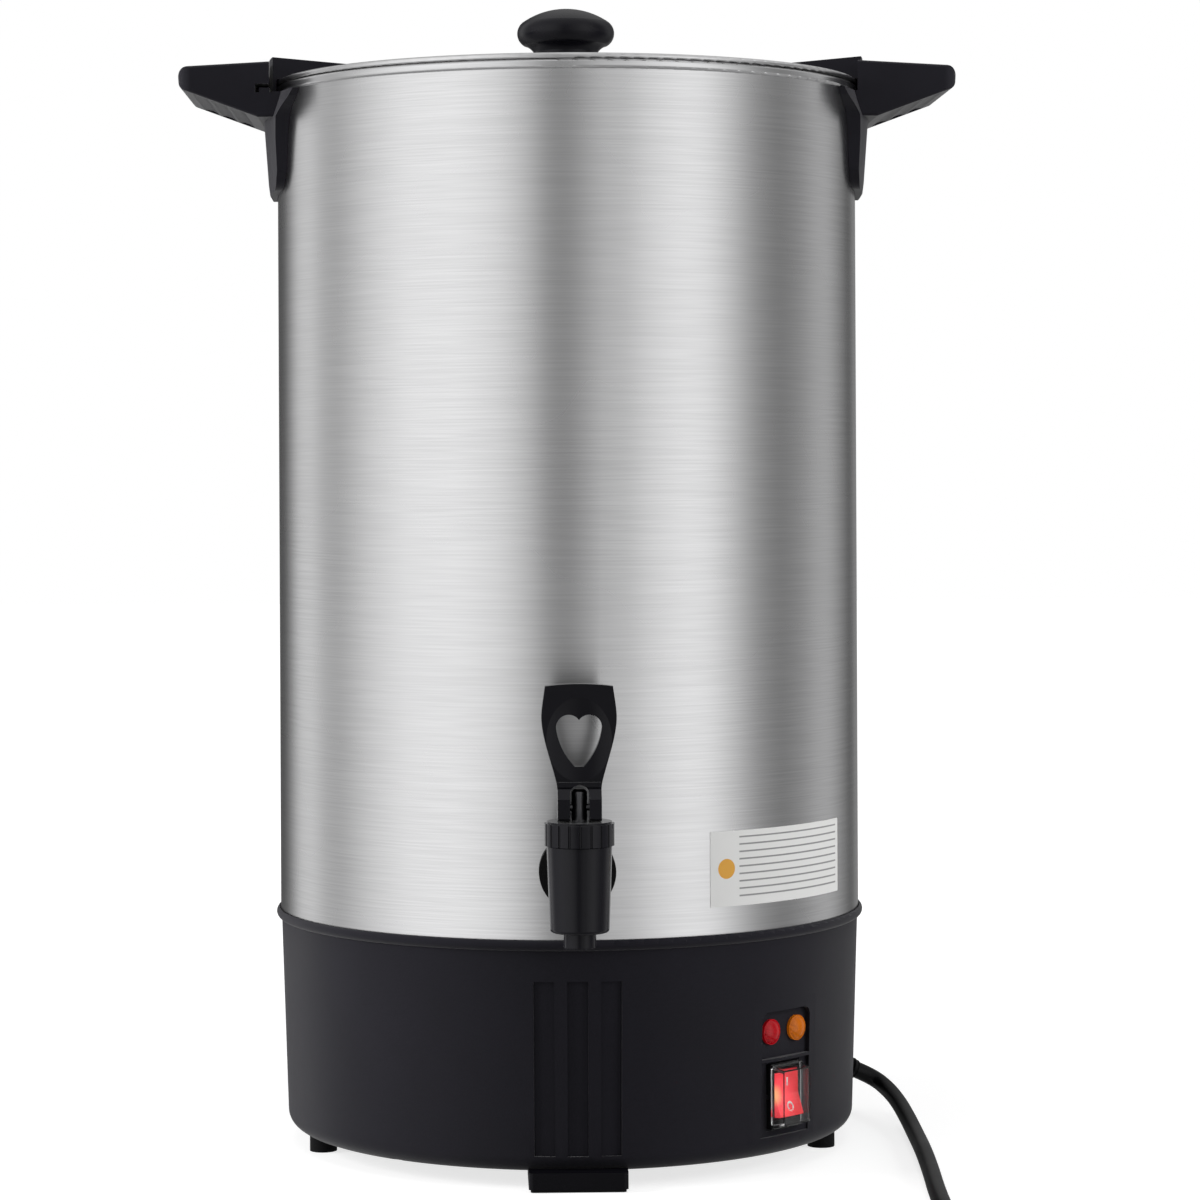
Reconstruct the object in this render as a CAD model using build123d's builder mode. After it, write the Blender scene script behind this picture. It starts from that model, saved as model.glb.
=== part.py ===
from build123d import *
from math import acos, cos, degrees, pi, radians, sin, sqrt, tan
import os

os.makedirs("parts", exist_ok=True)

# A percolating coffee urn. The origin is on the table under the pot's axis, +Z is up,
# the tap faces -Y, and +X is on the right hand of someone who stands at the tap.
# All sizes are millimetres. Azimuths are degrees from +X, counter-clockwise from above.

# ---------------------------------------------------------------- driving dimensions
fit_gap = 0.05        # between fixed pieces that fit into each other
slide_gap = 0.3       # between pieces that move past each other

# Pot
pot_radius = 130.0
pot_sheet = 0.8
pot_seat_height = 101.6
pot_floor_rise = 6.4
pot_floor_height = pot_seat_height + pot_floor_rise
rim_height = 470.5
rim_bead_width = 2.3
rim_bead_height = 3.7
sump_radius = 35.0
sump_depth = 12.0
pot_floor_flange = 5.2

# Base housing
housing_bottom = 6.8
housing_foot_inset = 3.3
housing_foot_radius = pot_radius - housing_foot_inset
housing_top_inset = 0.4
housing_top_radius = pot_radius - housing_top_inset
housing_wall = 2.5
housing_corner = 7.0
housing_flange_inset = 32.0
housing_flange_radius = pot_radius - housing_flange_inset
housing_bead_radius = 2.3
housing_bead_reach = 1.5
housing_lip_height = 2.8
housing_ledge = 2.4
bar_width = 8.7
bar_pitch_angle = 6.3
bar_depth = 0.8
bar_top = 86.9

# Base plate, tie rods and feet
plate_inset = 26.0
plate_radius = pot_radius - plate_inset
plate_sheet = 1.2
vent_width = 4.0
vent_length = 26.0
rod_radius = 2.5
rod_inset = 38.0
rod_circle = pot_radius - rod_inset
rod_azimuths = (100.0, 220.0, 340.0)
rod_weld_radius = 7.0
rod_weld_height = 1.5
nut_across_flats = 8.0
nut_height = 3.6
foot_radius = 6.0
foot_inset = 14.4
foot_circle = pot_radius - foot_inset
foot_azimuths = (54.0, 126.0, 198.0, 342.0)
foot_screw_radius = 1.6
foot_screw_head_radius = 3.2
foot_screw_head_height = 1.8
front_foot_width = 41.5
front_foot_overhang = 3.0
front_foot_front = pot_radius + front_foot_overhang
front_foot_depth = 38.0
front_foot_back = front_foot_front - front_foot_depth
front_foot_top = 8.2
front_pad_height = 1.2
front_pad_inset = 0.8
front_screw_spacing = 24.0
front_screw_setback = 21.5
front_screw_circle = front_foot_front - front_screw_setback

# Heater
heater_radius = 70.0
heater_height = 3.0
heater_bore_margin = 1.0
element_circle = 52.0
element_radius = 3.6
element_pin_radius = 3.24
element_sweep = 320.0
element_lead_length = 14.0
clamp_inner = 44.0
clamp_outer = 67.0
clamp_sheet = 1.5
clamp_stud_radius = 2.0
clamp_stud_circle = 62.5
clamp_stud_tail = 5.0
clamp_nut_margin = 1.5
clamp_nut_height = 3.0
control_circle = 86.0
thermostat_radius = 9.0
thermostat_height = 10.0
control_strap_sheet = 1.0
thermostat_azimuth = 60.0
cutout_azimuth = 150.0

# Handles
handle_overhang = 42.2
handle_reach = pot_radius + handle_overhang
handle_half_width = 40.0
handle_inner_rise = 9.8
handle_top_inner = rim_height + handle_inner_rise
handle_outer_rise = 7.2
handle_top_outer = rim_height + handle_outer_rise
handle_tip_height = 9.5
handle_under_drop = 15.0
handle_under_height = rim_height - handle_under_drop
handle_corner = 6.0
handle_edge = 1.2
handle_arc_depth = 5.6
saddle_drop = 3.8
saddle_height = rim_height - saddle_drop
saddle_half_width = 55.5
saddle_thickness = 3.6
leg_drop = 49.6
leg_bottom = rim_height - leg_drop
leg_half_width = 40.0
leg_top_thickness = 5.9
leg_end_thickness = 3.9
leg_toe_thickness = 1.4
leg_toe_rise = 2.2
leg_flare = 1.2
leg_flare_drop = 9.0
leg_taper = 0.4
leg_shoulder_height = 11.0
leg_toe_width = 5.5
leg_toe_height = 3.2
leg_corners = (1.5, 12.0, 20.0, 6.0, 9.0)
leg_band_half_angle = 40.0
ear_edge_width = 2.5
ear_edge_height = 3.0
ear_root_width = 4.5
ear_root_height = 1.5
scallop_radius = 9.0
scallop_depth = 0.8
scallop_pitch = 8.6
scallop_count = 3
handle_screw_drop = 10.5
handle_screw_height = rim_height - handle_screw_drop
handle_screw_angle = 9.0
handle_screw_radius = 2.0
handle_screw_length = 16.0
handle_screw_head_radius = 4.2
handle_screw_head_height = 2.4
gasket_radius = 5.0
gasket_height = 1.0

# Lid and its twist lock
lid_sheet = 0.8
lid_dome_inset = 3.0
lid_dome_radius = pot_radius - lid_dome_inset
lid_dome_rise = 8.5
lid_edge_rise = 2.2
lid_dome_edge_height = rim_height + lid_edge_rise
lid_hem_overhang = 1.3
lid_hem_radius = pot_radius + lid_hem_overhang
lid_hem_height = 2.5
lid_skirt_gap = 0.6
lid_skirt_height = 4.7
lug_half_angle = 12.0
lug_inset = 34.0
lug_inner_radius = pot_radius - lug_inset
lug_inner_height = 3.2
lug_rise = 12.6
lug_top_height = rim_height + lug_rise
lug_wall_gap = 0.4
lug_wall = 1.7
toe_reach = 3.4
toe_height = 2.0
toe_drop = 3.1
toe_bottom = rim_height - toe_drop
toe_side_angle = 1.0
rivet_radius = 1.6
rivet_head_radius = 3.2
rivet_head_height = 1.2
rivet_insets = (24.0, 10.0)
rivet_circles = tuple(pot_radius - inset for inset in rivet_insets)
rivet_depth = 3.0
keeper_drop = 0.4
keeper_bottom = rim_height - keeper_drop
groove_drop = 4.2
groove_bottom = rim_height - groove_drop
groove_overhang = 7.8
groove_reach = pot_radius + groove_overhang
stop_rib_width = 9.0
stop_rib_overhang = 6.0
stop_rib_reach = pot_radius + stop_rib_overhang
stop_rib_height = 2.0

# Knob
knob_neck_radius = 14.5
knob_radius = 21.9
knob_height = 25.1
knob_washer_height = 1.0
knob_washer_radius = 15.5
knob_screw_radius = 2.5
knob_screw_length = 15.0
knob_screw_head_radius = 5.0
knob_screw_head_height = 2.8

# Brew set
pump_tube_radius = 6.0
pump_tube_wall = 0.8
pump_tube_drop = 17.0
pump_tube_top = rim_height - pump_tube_drop
pump_foot_radius = 30.0
pump_foot_height = 9.0
pump_foot_sheet = 0.8
basket_drop = 121.0
basket_shelf_height = rim_height - basket_drop
basket_shelf_radius = 15.0
basket_radius = 84.0
basket_height = 88.0
basket_sheet = 0.7
basket_guide_wall = 0.8
basket_guide_gap = 0.4
basket_bead_width = 2.4
basket_hole_radius = 1.6
basket_hole_circles = (26.0, 40.0, 54.0, 68.0)
basket_hole_pitch = 13.0
cover_rise = 4.0
cover_flange = 6.0

# Tap
tap_overhang = 34.0
tap_reach = pot_radius + tap_overhang
tap_rise = 25.2
tap_height = pot_floor_height + tap_rise
tap_bottom_radius = 12.15
tap_top_radius = 13.35
tap_body_drop = 20.9
tap_body_bottom = tap_height - tap_body_drop
tap_body_rise = 14.4
tap_body_top = tap_height + tap_body_rise
tap_edge = 1.6
spout_radius = 6.7
spout_drop = 27.3
spout_bottom = tap_height - spout_drop
outlet_radius = 4.5
chamber_radius = 8.0
chamber_drop = 13.2
chamber_floor = tap_height - chamber_drop
shank_radius = 8.0
shank_inset = 18.0
shank_end = pot_radius - shank_inset
collar_radius = 10.5
collar_overhang = 6.0
collar_front = pot_radius + collar_overhang
passage_radius = 4.5
flange_washer_radius = 16.0
inner_washer_radius = 13.0
inner_washer_height = 3.5
tap_nut_flats = 24.0
tap_nut_height = 7.0
bonnet_radius = 14.3
bonnet_rise = 24.2
bonnet_top = tap_height + bonnet_rise
bonnet_flutes = 20
bonnet_flute_radius = 0.55
bonnet_plug_depth = 3.6
stem_radius = 3.2
stem_rise = 37.3
stem_top = tap_height + stem_rise
cup_radius = 7.0
cup_height = 3.8
cup_neck_radius = 5.6
cup_neck_height = 5.0
cup_floor = 2.8
spring_wire_radius = 0.4
spring_radius = 4.8
spring_turns = 6

# Tap lever
pivot_rise = 29.8
pivot_height = tap_height + pivot_rise
pivot_radius = 1.5
lever_tilt = 35.0
lever_lift_rate = 4.91     # stem lift in mm for each radian of lever tilt
fork_width = 17.8
fork_slot = 8.0
fork_back = 8.0
fork_rise = 38.3
fork_top = tap_height + fork_rise
paddle_thickness = 6.0
paddle_neck_width = 18.0
paddle_wide_width = 30.4
paddle_wide_rise = 64.3
paddle_wide_height = tap_height + paddle_wide_rise
paddle_top_width = 27.6
paddle_top_rise = 80.0
paddle_top_height = tap_height + paddle_top_rise
paddle_top_arch = 0.9
paddle_border = 1.9
paddle_dish_depth = 1.6
paddle_dish_drop = 1.7
paddle_lip_reach = 5.6
paddle_lip_height = 2.0
heart_width = 18.6
heart_rise = 67.4
heart_top = tap_height + heart_rise
heart_cleft_rise = 65.2
heart_cleft = tap_height + heart_cleft_rise
heart_bottom_rise = 46.4
heart_bottom = tap_height + heart_bottom_rise
heart_shoulder_rise = 61.8
heart_shoulder = tap_height + heart_shoulder_rise
heart_tip_width = 3.6

# Switch panel
panel_azimuth = -45.0
panel_width = 31.3
panel_depth = 4.8
panel_floor = pot_radius - panel_depth
panel_sheet = 4.5
panel_back = panel_floor - panel_sheet
panel_boss_margin = 4.5
pilot_recess_bottom = 48.8
pilot_recess_top = 68.9
pilot_recess_corner = 4.0
switch_recess_bottom = 15.4
switch_recess_top = 47.5
switch_pad_depth = 0.3
switch_pad_width = 22.0
switch_pad_height = 29.5
pilot_height = 60.0
pilot_spacing = 16.7
pilot_radius = 5.4
pilot_flange = 1.4
pilot_dome = 2.1
pilot_flange_step = 0.3
pilot_neck_radius = 4.6
pilot_body_radius = 5.6
pilot_body_length = 15.0
switch_height = 32.4
switch_body_width = 16.4
switch_body_height = 22.2
switch_body_depth = 18.0
switch_bezel_width = 20.6
switch_bezel_height = 28.0
switch_bezel_thickness = 2.4
switch_well_width = 15.0
switch_well_height = 20.6
switch_well_depth = 7.5
rocker_width = 14.4
rocker_height = 19.0
rocker_end_rise = 3.5
rocker_middle_rise = 1.9
rocker_skirt_depth = 1.2
rocker_belly_depth = 4.4
rocker_belly_reach = 3.3
rocker_skirt_step = 0.6
rocker_tilt = 10.0
rocker_pin_radius = 1.0
rocker_pin_height = 0.6
terminal_width = 4.8
terminal_thickness = 0.8
terminal_length = 8.0
terminal_pitch = 7.0
cover_base_width = 19.2
cover_base_height = 26.2
cover_front_width = 17.4
cover_front_height = 23.6
cover_depth = 6.1
cover_wall = 0.8
cover_corner = 0.7
cover_brim = 0.5

# Power cord
cord_radius = 3.8
gland_azimuth = 17.515
gland_inset = 2.07
gland_height = 25.5
gland_direction = (0.862, 0.307, -0.402)
gland_outer_length = 13.0
gland_inner_length = 13.0
gland_neck_radius = 6.0
gland_collar_radius = 8.2
gland_collar_length = 5.5
gland_tip_radius = 5.2
gland_inner_collar_radius = 7.6
gland_inner_collar_start = 7.6
cord_route = (
    (148.0, 38.0, 11.9),
    (151.2, 23.8, 8.6),
    (152.6, 1.5, 5.6),
    (152.6, -28.0, 3.8),
    (151.4, -68.0, 3.8),
    (149.0, -112.0, 3.8),
    (146.0, -156.0, 3.8),
    (144.0, -203.0, 3.8),
    (144.0, -248.0, 3.8),
)
cord_lead_out = 10.0
coil_centre = (96.0, -280.0)
coil_turns = (48.0, 40.2, 32.4)
coil_upper_turn = 42.0
coil_upper_height = 10.6
coil_upper_sweep = 105.0
coil_tail_length = 36.0
coil_end_start = 6.0
plug_relief_length = 14.0
plug_length = 34.0
plug_width = 27.0
plug_thickness = 20.4
plug_corner = 4.0
plug_back_width = 20.0
plug_back_thickness = 17.0
plug_relief_tip_radius = 5.4
plug_relief_root_radius = 7.2
blade_length = 17.0
blade_width = 6.3
blade_thickness = 1.5
blade_spacing = 12.7
blade_drop = 2.0
ground_pin_radius = 2.4
ground_pin_length = 20.0
ground_pin_drop = 6.0

# Wiring inside the base
terminal_block_inset = 56.0
terminal_block_place = (pot_radius - terminal_block_inset, 22.0)
terminal_block_size = (30.0, 18.0, 16.0)
terminal_block_screw_radius = 1.8
terminal_block_screw_depth = 4.0
lead_radius = 1.3
lead_spacing = 3.4
lead_pitch = 5.0
lead_run = 10.0
lead_bend = 3.0


# ---------------------------------------------------------------- shared helpers
def radial_plane(azimuth, radius=0.0, height=0.0):
    """Upright plane that faces outwards; its x runs to the right as seen from outside."""
    out = Vector(cos(radians(azimuth)), sin(radians(azimuth)), 0)
    origin = out * radius + Vector(0, 0, height)
    return Plane(origin=origin, x_dir=(-out.Y, out.X, 0), z_dir=out)


def section_plane(azimuth):
    """Upright plane through the pot's axis; its x is the radius and its y the height."""
    angle = radians(azimuth)
    return Plane(origin=(0, 0, 0), x_dir=(cos(angle), sin(angle), 0), z_dir=(sin(angle), -cos(angle), 0))


def polar_point(azimuth, radius):
    """Point in plan on a circle about the pot's axis."""
    return (radius * cos(radians(azimuth)), radius * sin(radians(azimuth)))


def housing_radius(height):
    """Outside radius of the housing's slightly tapered wall."""
    share = (height - housing_bottom) / (pot_seat_height - housing_bottom)
    return housing_foot_radius + share * (housing_top_radius - housing_foot_radius)


def dome_height(radius):
    """Top of the lid's shallow spherical dome at a radius."""
    return lid_dome_top - dome_sphere + sqrt(dome_sphere ** 2 - radius ** 2)


def finish(piece, name):
    """Label a finished piece and write its file."""
    piece.part.label = name
    export_step(piece.part, "parts/" + name + ".step")


gland_seat = Vector(*polar_point(gland_azimuth, pot_radius - gland_inset), gland_height)
pot_inner_radius = pot_radius - pot_sheet
lid_dome_top = lid_dome_edge_height + lid_dome_rise
dome_sphere = (lid_dome_radius ** 2 + lid_dome_rise ** 2) / (2 * lid_dome_rise)
sump_floor = pot_floor_height - sump_depth + pot_sheet

# ---------------------------------------------------------------- base housing
lip_radius = pot_radius + slide_gap
lip_top = pot_seat_height + housing_lip_height
lip_chamfer = 0.4
bead_bottom = lip_top - 2 * housing_bead_radius
ledge_radius = pot_inner_radius - housing_ledge
flange_top = housing_bottom + housing_wall

with BuildPart() as housing_envelope:
    with BuildSketch(Plane.XZ):
        with BuildLine():
            FilletPolyline(
                (0, housing_bottom),
                (housing_foot_radius, housing_bottom),
                (housing_top_radius, pot_seat_height),
                (0, pot_seat_height),
                radius=(0, housing_corner, 0, 0),
                close=True,
            )
        make_face()
    revolve(axis=Axis.Z)

with BuildPart() as panel_boss:
    with BuildSketch(radial_plane(panel_azimuth, panel_back)):
        with Locations((0, (switch_recess_bottom + pilot_recess_top) / 2)):
            Rectangle(
                panel_width + 2 * panel_boss_margin,
                pilot_recess_top - switch_recess_bottom + 2 * panel_boss_margin,
            )
    extrude(amount=housing_top_radius - panel_back)
    add(housing_envelope.part, mode=Mode.INTERSECT)

with BuildPart() as bar_cutter:
    # A thin skin of the housing's outside, kept only where the three upright bars are.
    with BuildSketch(Plane.XZ):
        with BuildLine():
            Polyline(
                (housing_foot_radius - bar_depth, housing_bottom + housing_corner),
                (housing_top_radius + bar_depth, housing_bottom + housing_corner),
                (housing_top_radius + bar_depth, bar_top),
                (housing_radius(bar_top) - bar_depth, bar_top),
                close=True,
            )
        make_face()
    revolve(axis=Axis.Z)
    with BuildSketch(Plane.XY):
        for step in (-1, 0, 1):
            with Locations(Location(polar_point(-90 + step * bar_pitch_angle, housing_top_radius),
                                    -90 + step * bar_pitch_angle)):
                Rectangle(8 * housing_wall, bar_width)
    extrude(amount=pot_seat_height, mode=Mode.INTERSECT)

with BuildPart() as base_housing:
    with BuildSketch(Plane.XZ):
        with BuildLine():
            wall_line = FilletPolyline(
                (lip_radius + lip_chamfer, lip_top),
                (lip_radius, lip_top - lip_chamfer),
                (lip_radius, pot_seat_height),
                (ledge_radius, pot_seat_height),
                (ledge_radius, pot_seat_height - housing_wall),
                (housing_top_radius - housing_wall, pot_seat_height - 2 * housing_wall),
                (housing_foot_radius - housing_wall, flange_top),
                (housing_flange_radius, flange_top),
                (housing_flange_radius, housing_bottom),
                (housing_foot_radius, housing_bottom),
                (housing_radius(bead_bottom), bead_bottom),
                radius=(0, 0, 0, 0, 0, housing_corner - housing_wall, 0, 0, housing_corner),
            )
            ThreePointArc(
                wall_line @ 1,
                (lip_radius + housing_bead_reach, lip_top - housing_bead_radius),
                wall_line @ 0,
            )
        make_face()
    revolve(axis=Axis.Z)
    add(panel_boss.part)
    # Two recesses of the switch panel, one above the other
    with BuildSketch(radial_plane(panel_azimuth, panel_floor)):
        with BuildLine():
            FilletPolyline(
                (-panel_width / 2, pilot_recess_bottom),
                (panel_width / 2, pilot_recess_bottom),
                (panel_width / 2, pilot_recess_top),
                (-panel_width / 2, pilot_recess_top),
                radius=(0.5, 0.5, pilot_recess_corner, pilot_recess_corner),
                close=True,
            )
        make_face()
        with Locations((0, (switch_recess_bottom + switch_recess_top) / 2)):
            Rectangle(panel_width, switch_recess_top - switch_recess_bottom)
    extrude(amount=housing_top_radius, mode=Mode.SUBTRACT)
    with BuildSketch(radial_plane(panel_azimuth, panel_floor - switch_pad_depth)):
        with Locations((0, switch_height)):
            Rectangle(switch_pad_width, switch_pad_height)
    extrude(amount=housing_wall, mode=Mode.SUBTRACT)
    # Holes for the switch and the two pilot lamps
    with BuildSketch(radial_plane(panel_azimuth, panel_back - fit_gap)):
        with Locations((0, switch_height)):
            Rectangle(switch_body_width + 2 * fit_gap, switch_body_height + 2 * fit_gap)
        with Locations((-pilot_spacing / 2, pilot_height), (pilot_spacing / 2, pilot_height)):
            Circle(pilot_neck_radius + fit_gap)
    extrude(amount=2 * housing_wall, mode=Mode.SUBTRACT)
    # Three shallow upright bars under the tap
    add(bar_cutter.part, mode=Mode.SUBTRACT)
    # Hole for the cord's strain relief
    with BuildSketch(Plane(origin=gland_seat, z_dir=gland_direction)):
        Circle(gland_neck_radius + fit_gap)
    extrude(amount=gland_inner_length, both=True, mode=Mode.SUBTRACT)
    # Screw holes for the four round feet and the front foot
    with BuildSketch(Plane.XY.offset(housing_bottom)):
        for azimuth in foot_azimuths:
            with Locations(polar_point(azimuth, foot_circle)):
                Circle(foot_screw_radius + fit_gap)
        with Locations((-front_screw_spacing / 2, -front_screw_circle),
                       (front_screw_spacing / 2, -front_screw_circle)):
            Circle(foot_screw_radius + fit_gap)
    extrude(amount=housing_wall, mode=Mode.SUBTRACT)
finish(base_housing, "base_housing")

# ---------------------------------------------------------------- base plate, rods and feet
rod_end = housing_bottom - nut_height
rod_places = [polar_point(azimuth, rod_circle) for azimuth in rod_azimuths]
foot_places = [polar_point(azimuth, foot_circle) for azimuth in foot_azimuths]
front_screw_places = [(side * front_screw_spacing / 2, -front_screw_circle) for side in (-1, 1)]
front_foot_middle = (0, -(front_foot_front + front_foot_back) / 2)

with BuildPart() as base_plate:
    with BuildSketch(Plane.XY.offset(flange_top)):
        Circle(plate_radius)
        with Locations(*rod_places):
            Circle(rod_radius + fit_gap, mode=Mode.SUBTRACT)
        with PolarLocations(plate_radius / 2, 12):
            SlotOverall(vent_length, vent_width, mode=Mode.SUBTRACT)
    extrude(amount=plate_sheet)
finish(base_plate, "base_plate")

with BuildPart() as tie_rods:
    with BuildSketch(Plane.XY.offset(pot_floor_height - fit_gap)):
        with Locations(*rod_places):
            Circle(rod_weld_radius)
    extrude(amount=-rod_weld_height)
    with BuildSketch(Plane.XY.offset(rod_end)):
        with Locations(*rod_places):
            Circle(rod_radius)
    extrude(amount=pot_floor_height - fit_gap - rod_end)
finish(tie_rods, "tie_rods")

with BuildPart() as tie_nuts:
    with BuildSketch(Plane.XY.offset(flange_top)):
        with Locations(*rod_places):
            RegularPolygon(nut_across_flats / 2, 6, major_radius=False)
            Circle(rod_radius + fit_gap, mode=Mode.SUBTRACT)
    extrude(amount=-nut_height)
finish(tie_nuts, "tie_nuts")

with BuildPart() as rubber_feet:
    with BuildSketch(Plane.XY):
        with Locations(*foot_places):
            Circle(foot_radius)
            Circle(foot_screw_radius + fit_gap, mode=Mode.SUBTRACT)
    extrude(amount=housing_bottom)
    with BuildSketch(Plane.XY):
        with Locations(*foot_places):
            Circle(foot_screw_head_radius + slide_gap)
    extrude(amount=housing_bottom / 2, mode=Mode.SUBTRACT)
finish(rubber_feet, "rubber_feet")

with BuildPart() as front_foot:
    with BuildSketch(Plane.XY.offset(front_pad_height)):
        with Locations(front_foot_middle):
            RectangleRounded(front_foot_width, front_foot_front - front_foot_back, 2.0)
    extrude(amount=front_foot_top - front_pad_height)
    with BuildSketch(Plane.XY.offset(front_pad_height)):
        with Locations(*front_screw_places):
            Circle(foot_screw_radius + fit_gap)
    extrude(amount=housing_bottom, mode=Mode.SUBTRACT)
    add(housing_envelope.part, mode=Mode.SUBTRACT)
finish(front_foot, "front_foot")

with BuildPart() as front_foot_pad:
    with BuildSketch(Plane.XY):
        with Locations(front_foot_middle):
            RectangleRounded(
                front_foot_width - 2 * front_pad_inset,
                front_foot_front - front_foot_back - 2 * front_pad_inset,
                1.5,
            )
    extrude(amount=front_pad_height)
finish(front_foot_pad, "front_foot_pad")

with BuildPart() as foot_screws:
    with BuildSketch(Plane.XY.offset(housing_bottom / 2)):
        with Locations(*foot_places):
            Circle(foot_screw_head_radius)
    extrude(amount=-foot_screw_head_height)
    with BuildSketch(Plane.XY.offset(housing_bottom / 2)):
        with Locations(*foot_places):
            Circle(foot_screw_radius)
    extrude(amount=housing_bottom / 2 + 2 * housing_wall)
    with BuildSketch(Plane.XY.offset(flange_top)):
        with Locations(*front_screw_places):
            Circle(foot_screw_head_radius)
    extrude(amount=foot_screw_head_height)
    with BuildSketch(Plane.XY.offset(flange_top)):
        with Locations(*front_screw_places):
            Circle(foot_screw_radius)
    extrude(amount=front_pad_height + 1 - flange_top)
finish(foot_screws, "foot_screws")

# ---------------------------------------------------------------- pot
handle_screw_azimuths = [
    side + turn for side in (0, 180) for turn in (-handle_screw_angle, handle_screw_angle)
]

with BuildPart() as pot_shell:
    with BuildSketch(Plane.XZ):
        with BuildLine():
            Polyline(
                (pot_inner_radius, pot_seat_height),
                (pot_radius, pot_seat_height),
                (pot_radius, rim_height - rim_bead_height / 2),
                (pot_inner_radius, rim_height - rim_bead_height / 2),
                close=True,
            )
        make_face()
        with Locations((pot_inner_radius + rim_bead_width / 2, rim_height - rim_bead_height / 2)):
            SlotOverall(rim_bead_height, rim_bead_width, rotation=90)
    revolve(axis=Axis.Z)
    with BuildSketch(Plane(origin=(0, 0, tap_height), z_dir=(0, -1, 0))):
        Circle(shank_radius + fit_gap)
    extrude(amount=pot_radius + pot_sheet, mode=Mode.SUBTRACT)
    for azimuth in handle_screw_azimuths:
        with BuildSketch(radial_plane(azimuth, pot_radius - 3 * pot_sheet, handle_screw_height)):
            Circle(handle_screw_radius + fit_gap)
        extrude(amount=6 * pot_sheet, mode=Mode.SUBTRACT)
finish(pot_shell, "pot_shell")

floor_edge = pot_inner_radius - fit_gap
with BuildPart() as pot_floor:
    with BuildSketch(Plane.XZ):
        with BuildLine():
            FilletPolyline(
                (0, sump_floor - pot_sheet),
                (sump_radius + pot_sheet, sump_floor - pot_sheet),
                (sump_radius + pot_sheet, pot_floor_height),
                (floor_edge - pot_sheet, pot_floor_height),
                (floor_edge - pot_sheet, pot_floor_height - pot_floor_flange),
                (floor_edge, pot_floor_height - pot_floor_flange),
                (floor_edge, pot_floor_height + pot_sheet),
                (sump_radius, pot_floor_height + pot_sheet),
                (sump_radius, sump_floor),
                (0, sump_floor),
                radius=(0, 2.8, 0.4, 1.2, 0, 0, 2.0, 1.2, 2.0, 0),
                close=True,
            )
        make_face()
    revolve(axis=Axis.Z)
finish(pot_floor, "pot_floor")

# ---------------------------------------------------------------- heater and its controls
heater_top = pot_floor_height - fit_gap
plate_bottom = heater_top - heater_height
element_height = plate_bottom - fit_gap - element_radius
clamp_top = element_height - element_radius - fit_gap
gap_angle = (360 - element_sweep) / 2
element_ends = [polar_point(azimuth, element_circle) for azimuth in (gap_angle, -gap_angle)]

with BuildPart() as heater_plate:
    with BuildSketch(Plane.XY.offset(heater_top)):
        Circle(heater_radius)
        Circle(sump_radius + pot_sheet + heater_bore_margin, mode=Mode.SUBTRACT)
    extrude(amount=-heater_height)
finish(heater_plate, "heater_plate")

with BuildPart() as heating_element:
    with BuildSketch(section_plane(gap_angle)):
        with Locations((element_circle, element_height)):
            Circle(element_radius)
    revolve(axis=Axis.Z, revolution_arc=element_sweep)
    with BuildSketch(Plane.XY.offset(element_height)):
        with Locations(*element_ends):
            Circle(element_pin_radius)
    extrude(amount=-element_lead_length)
finish(heating_element, "heating_element")

with BuildPart() as element_clamp:
    with BuildSketch(Plane.XY.offset(clamp_top)):
        Circle(clamp_outer)
        Circle(clamp_inner, mode=Mode.SUBTRACT)
        with PolarLocations(clamp_stud_circle, 3, start_angle=60):
            Circle(clamp_stud_radius + fit_gap, mode=Mode.SUBTRACT)
        with Locations(*element_ends):
            Circle(element_radius + slide_gap, mode=Mode.SUBTRACT)
    extrude(amount=-clamp_sheet)
finish(element_clamp, "element_clamp")

with BuildPart() as clamp_studs:
    with BuildSketch(Plane.XY.offset(plate_bottom - fit_gap)):
        with PolarLocations(clamp_stud_circle, 3, start_angle=60):
            Circle(clamp_stud_radius)
    extrude(amount=clamp_top - plate_bottom - clamp_sheet - clamp_stud_tail)
    with BuildSketch(Plane.XY.offset(clamp_top - clamp_sheet - fit_gap)):
        with PolarLocations(clamp_stud_circle, 3, start_angle=60):
            RegularPolygon(clamp_stud_radius + clamp_nut_margin, 6, major_radius=False)
    extrude(amount=-clamp_nut_height)
finish(clamp_studs, "clamp_studs")


def snap_control(azimuth):
    """Round snap-action control with a fixing strap and two blade terminals."""
    place = polar_point(azimuth, control_circle)
    with BuildPart() as control:
        with BuildSketch(Plane.XY.offset(heater_top)):
            with Locations(Location(place, azimuth + 90)):
                Circle(thermostat_radius)
        extrude(amount=-thermostat_height)
        with BuildSketch(Plane.XY.offset(heater_top)):
            with Locations(Location(place, azimuth + 90)):
                SlotOverall(4 * thermostat_radius, thermostat_radius)
        extrude(amount=-control_strap_sheet)
        with BuildSketch(Plane.XY.offset(heater_top - thermostat_height)):
            with Locations(Location(place, azimuth + 90)):
                with Locations((-thermostat_radius / 2, 0), (thermostat_radius / 2, 0)):
                    Rectangle(terminal_thickness, terminal_width)
        extrude(amount=-terminal_length)
    return control


thermostat = snap_control(thermostat_azimuth)
finish(thermostat, "thermostat")
thermal_cutout = snap_control(cutout_azimuth)
finish(thermal_cutout, "thermal_cutout")

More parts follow.
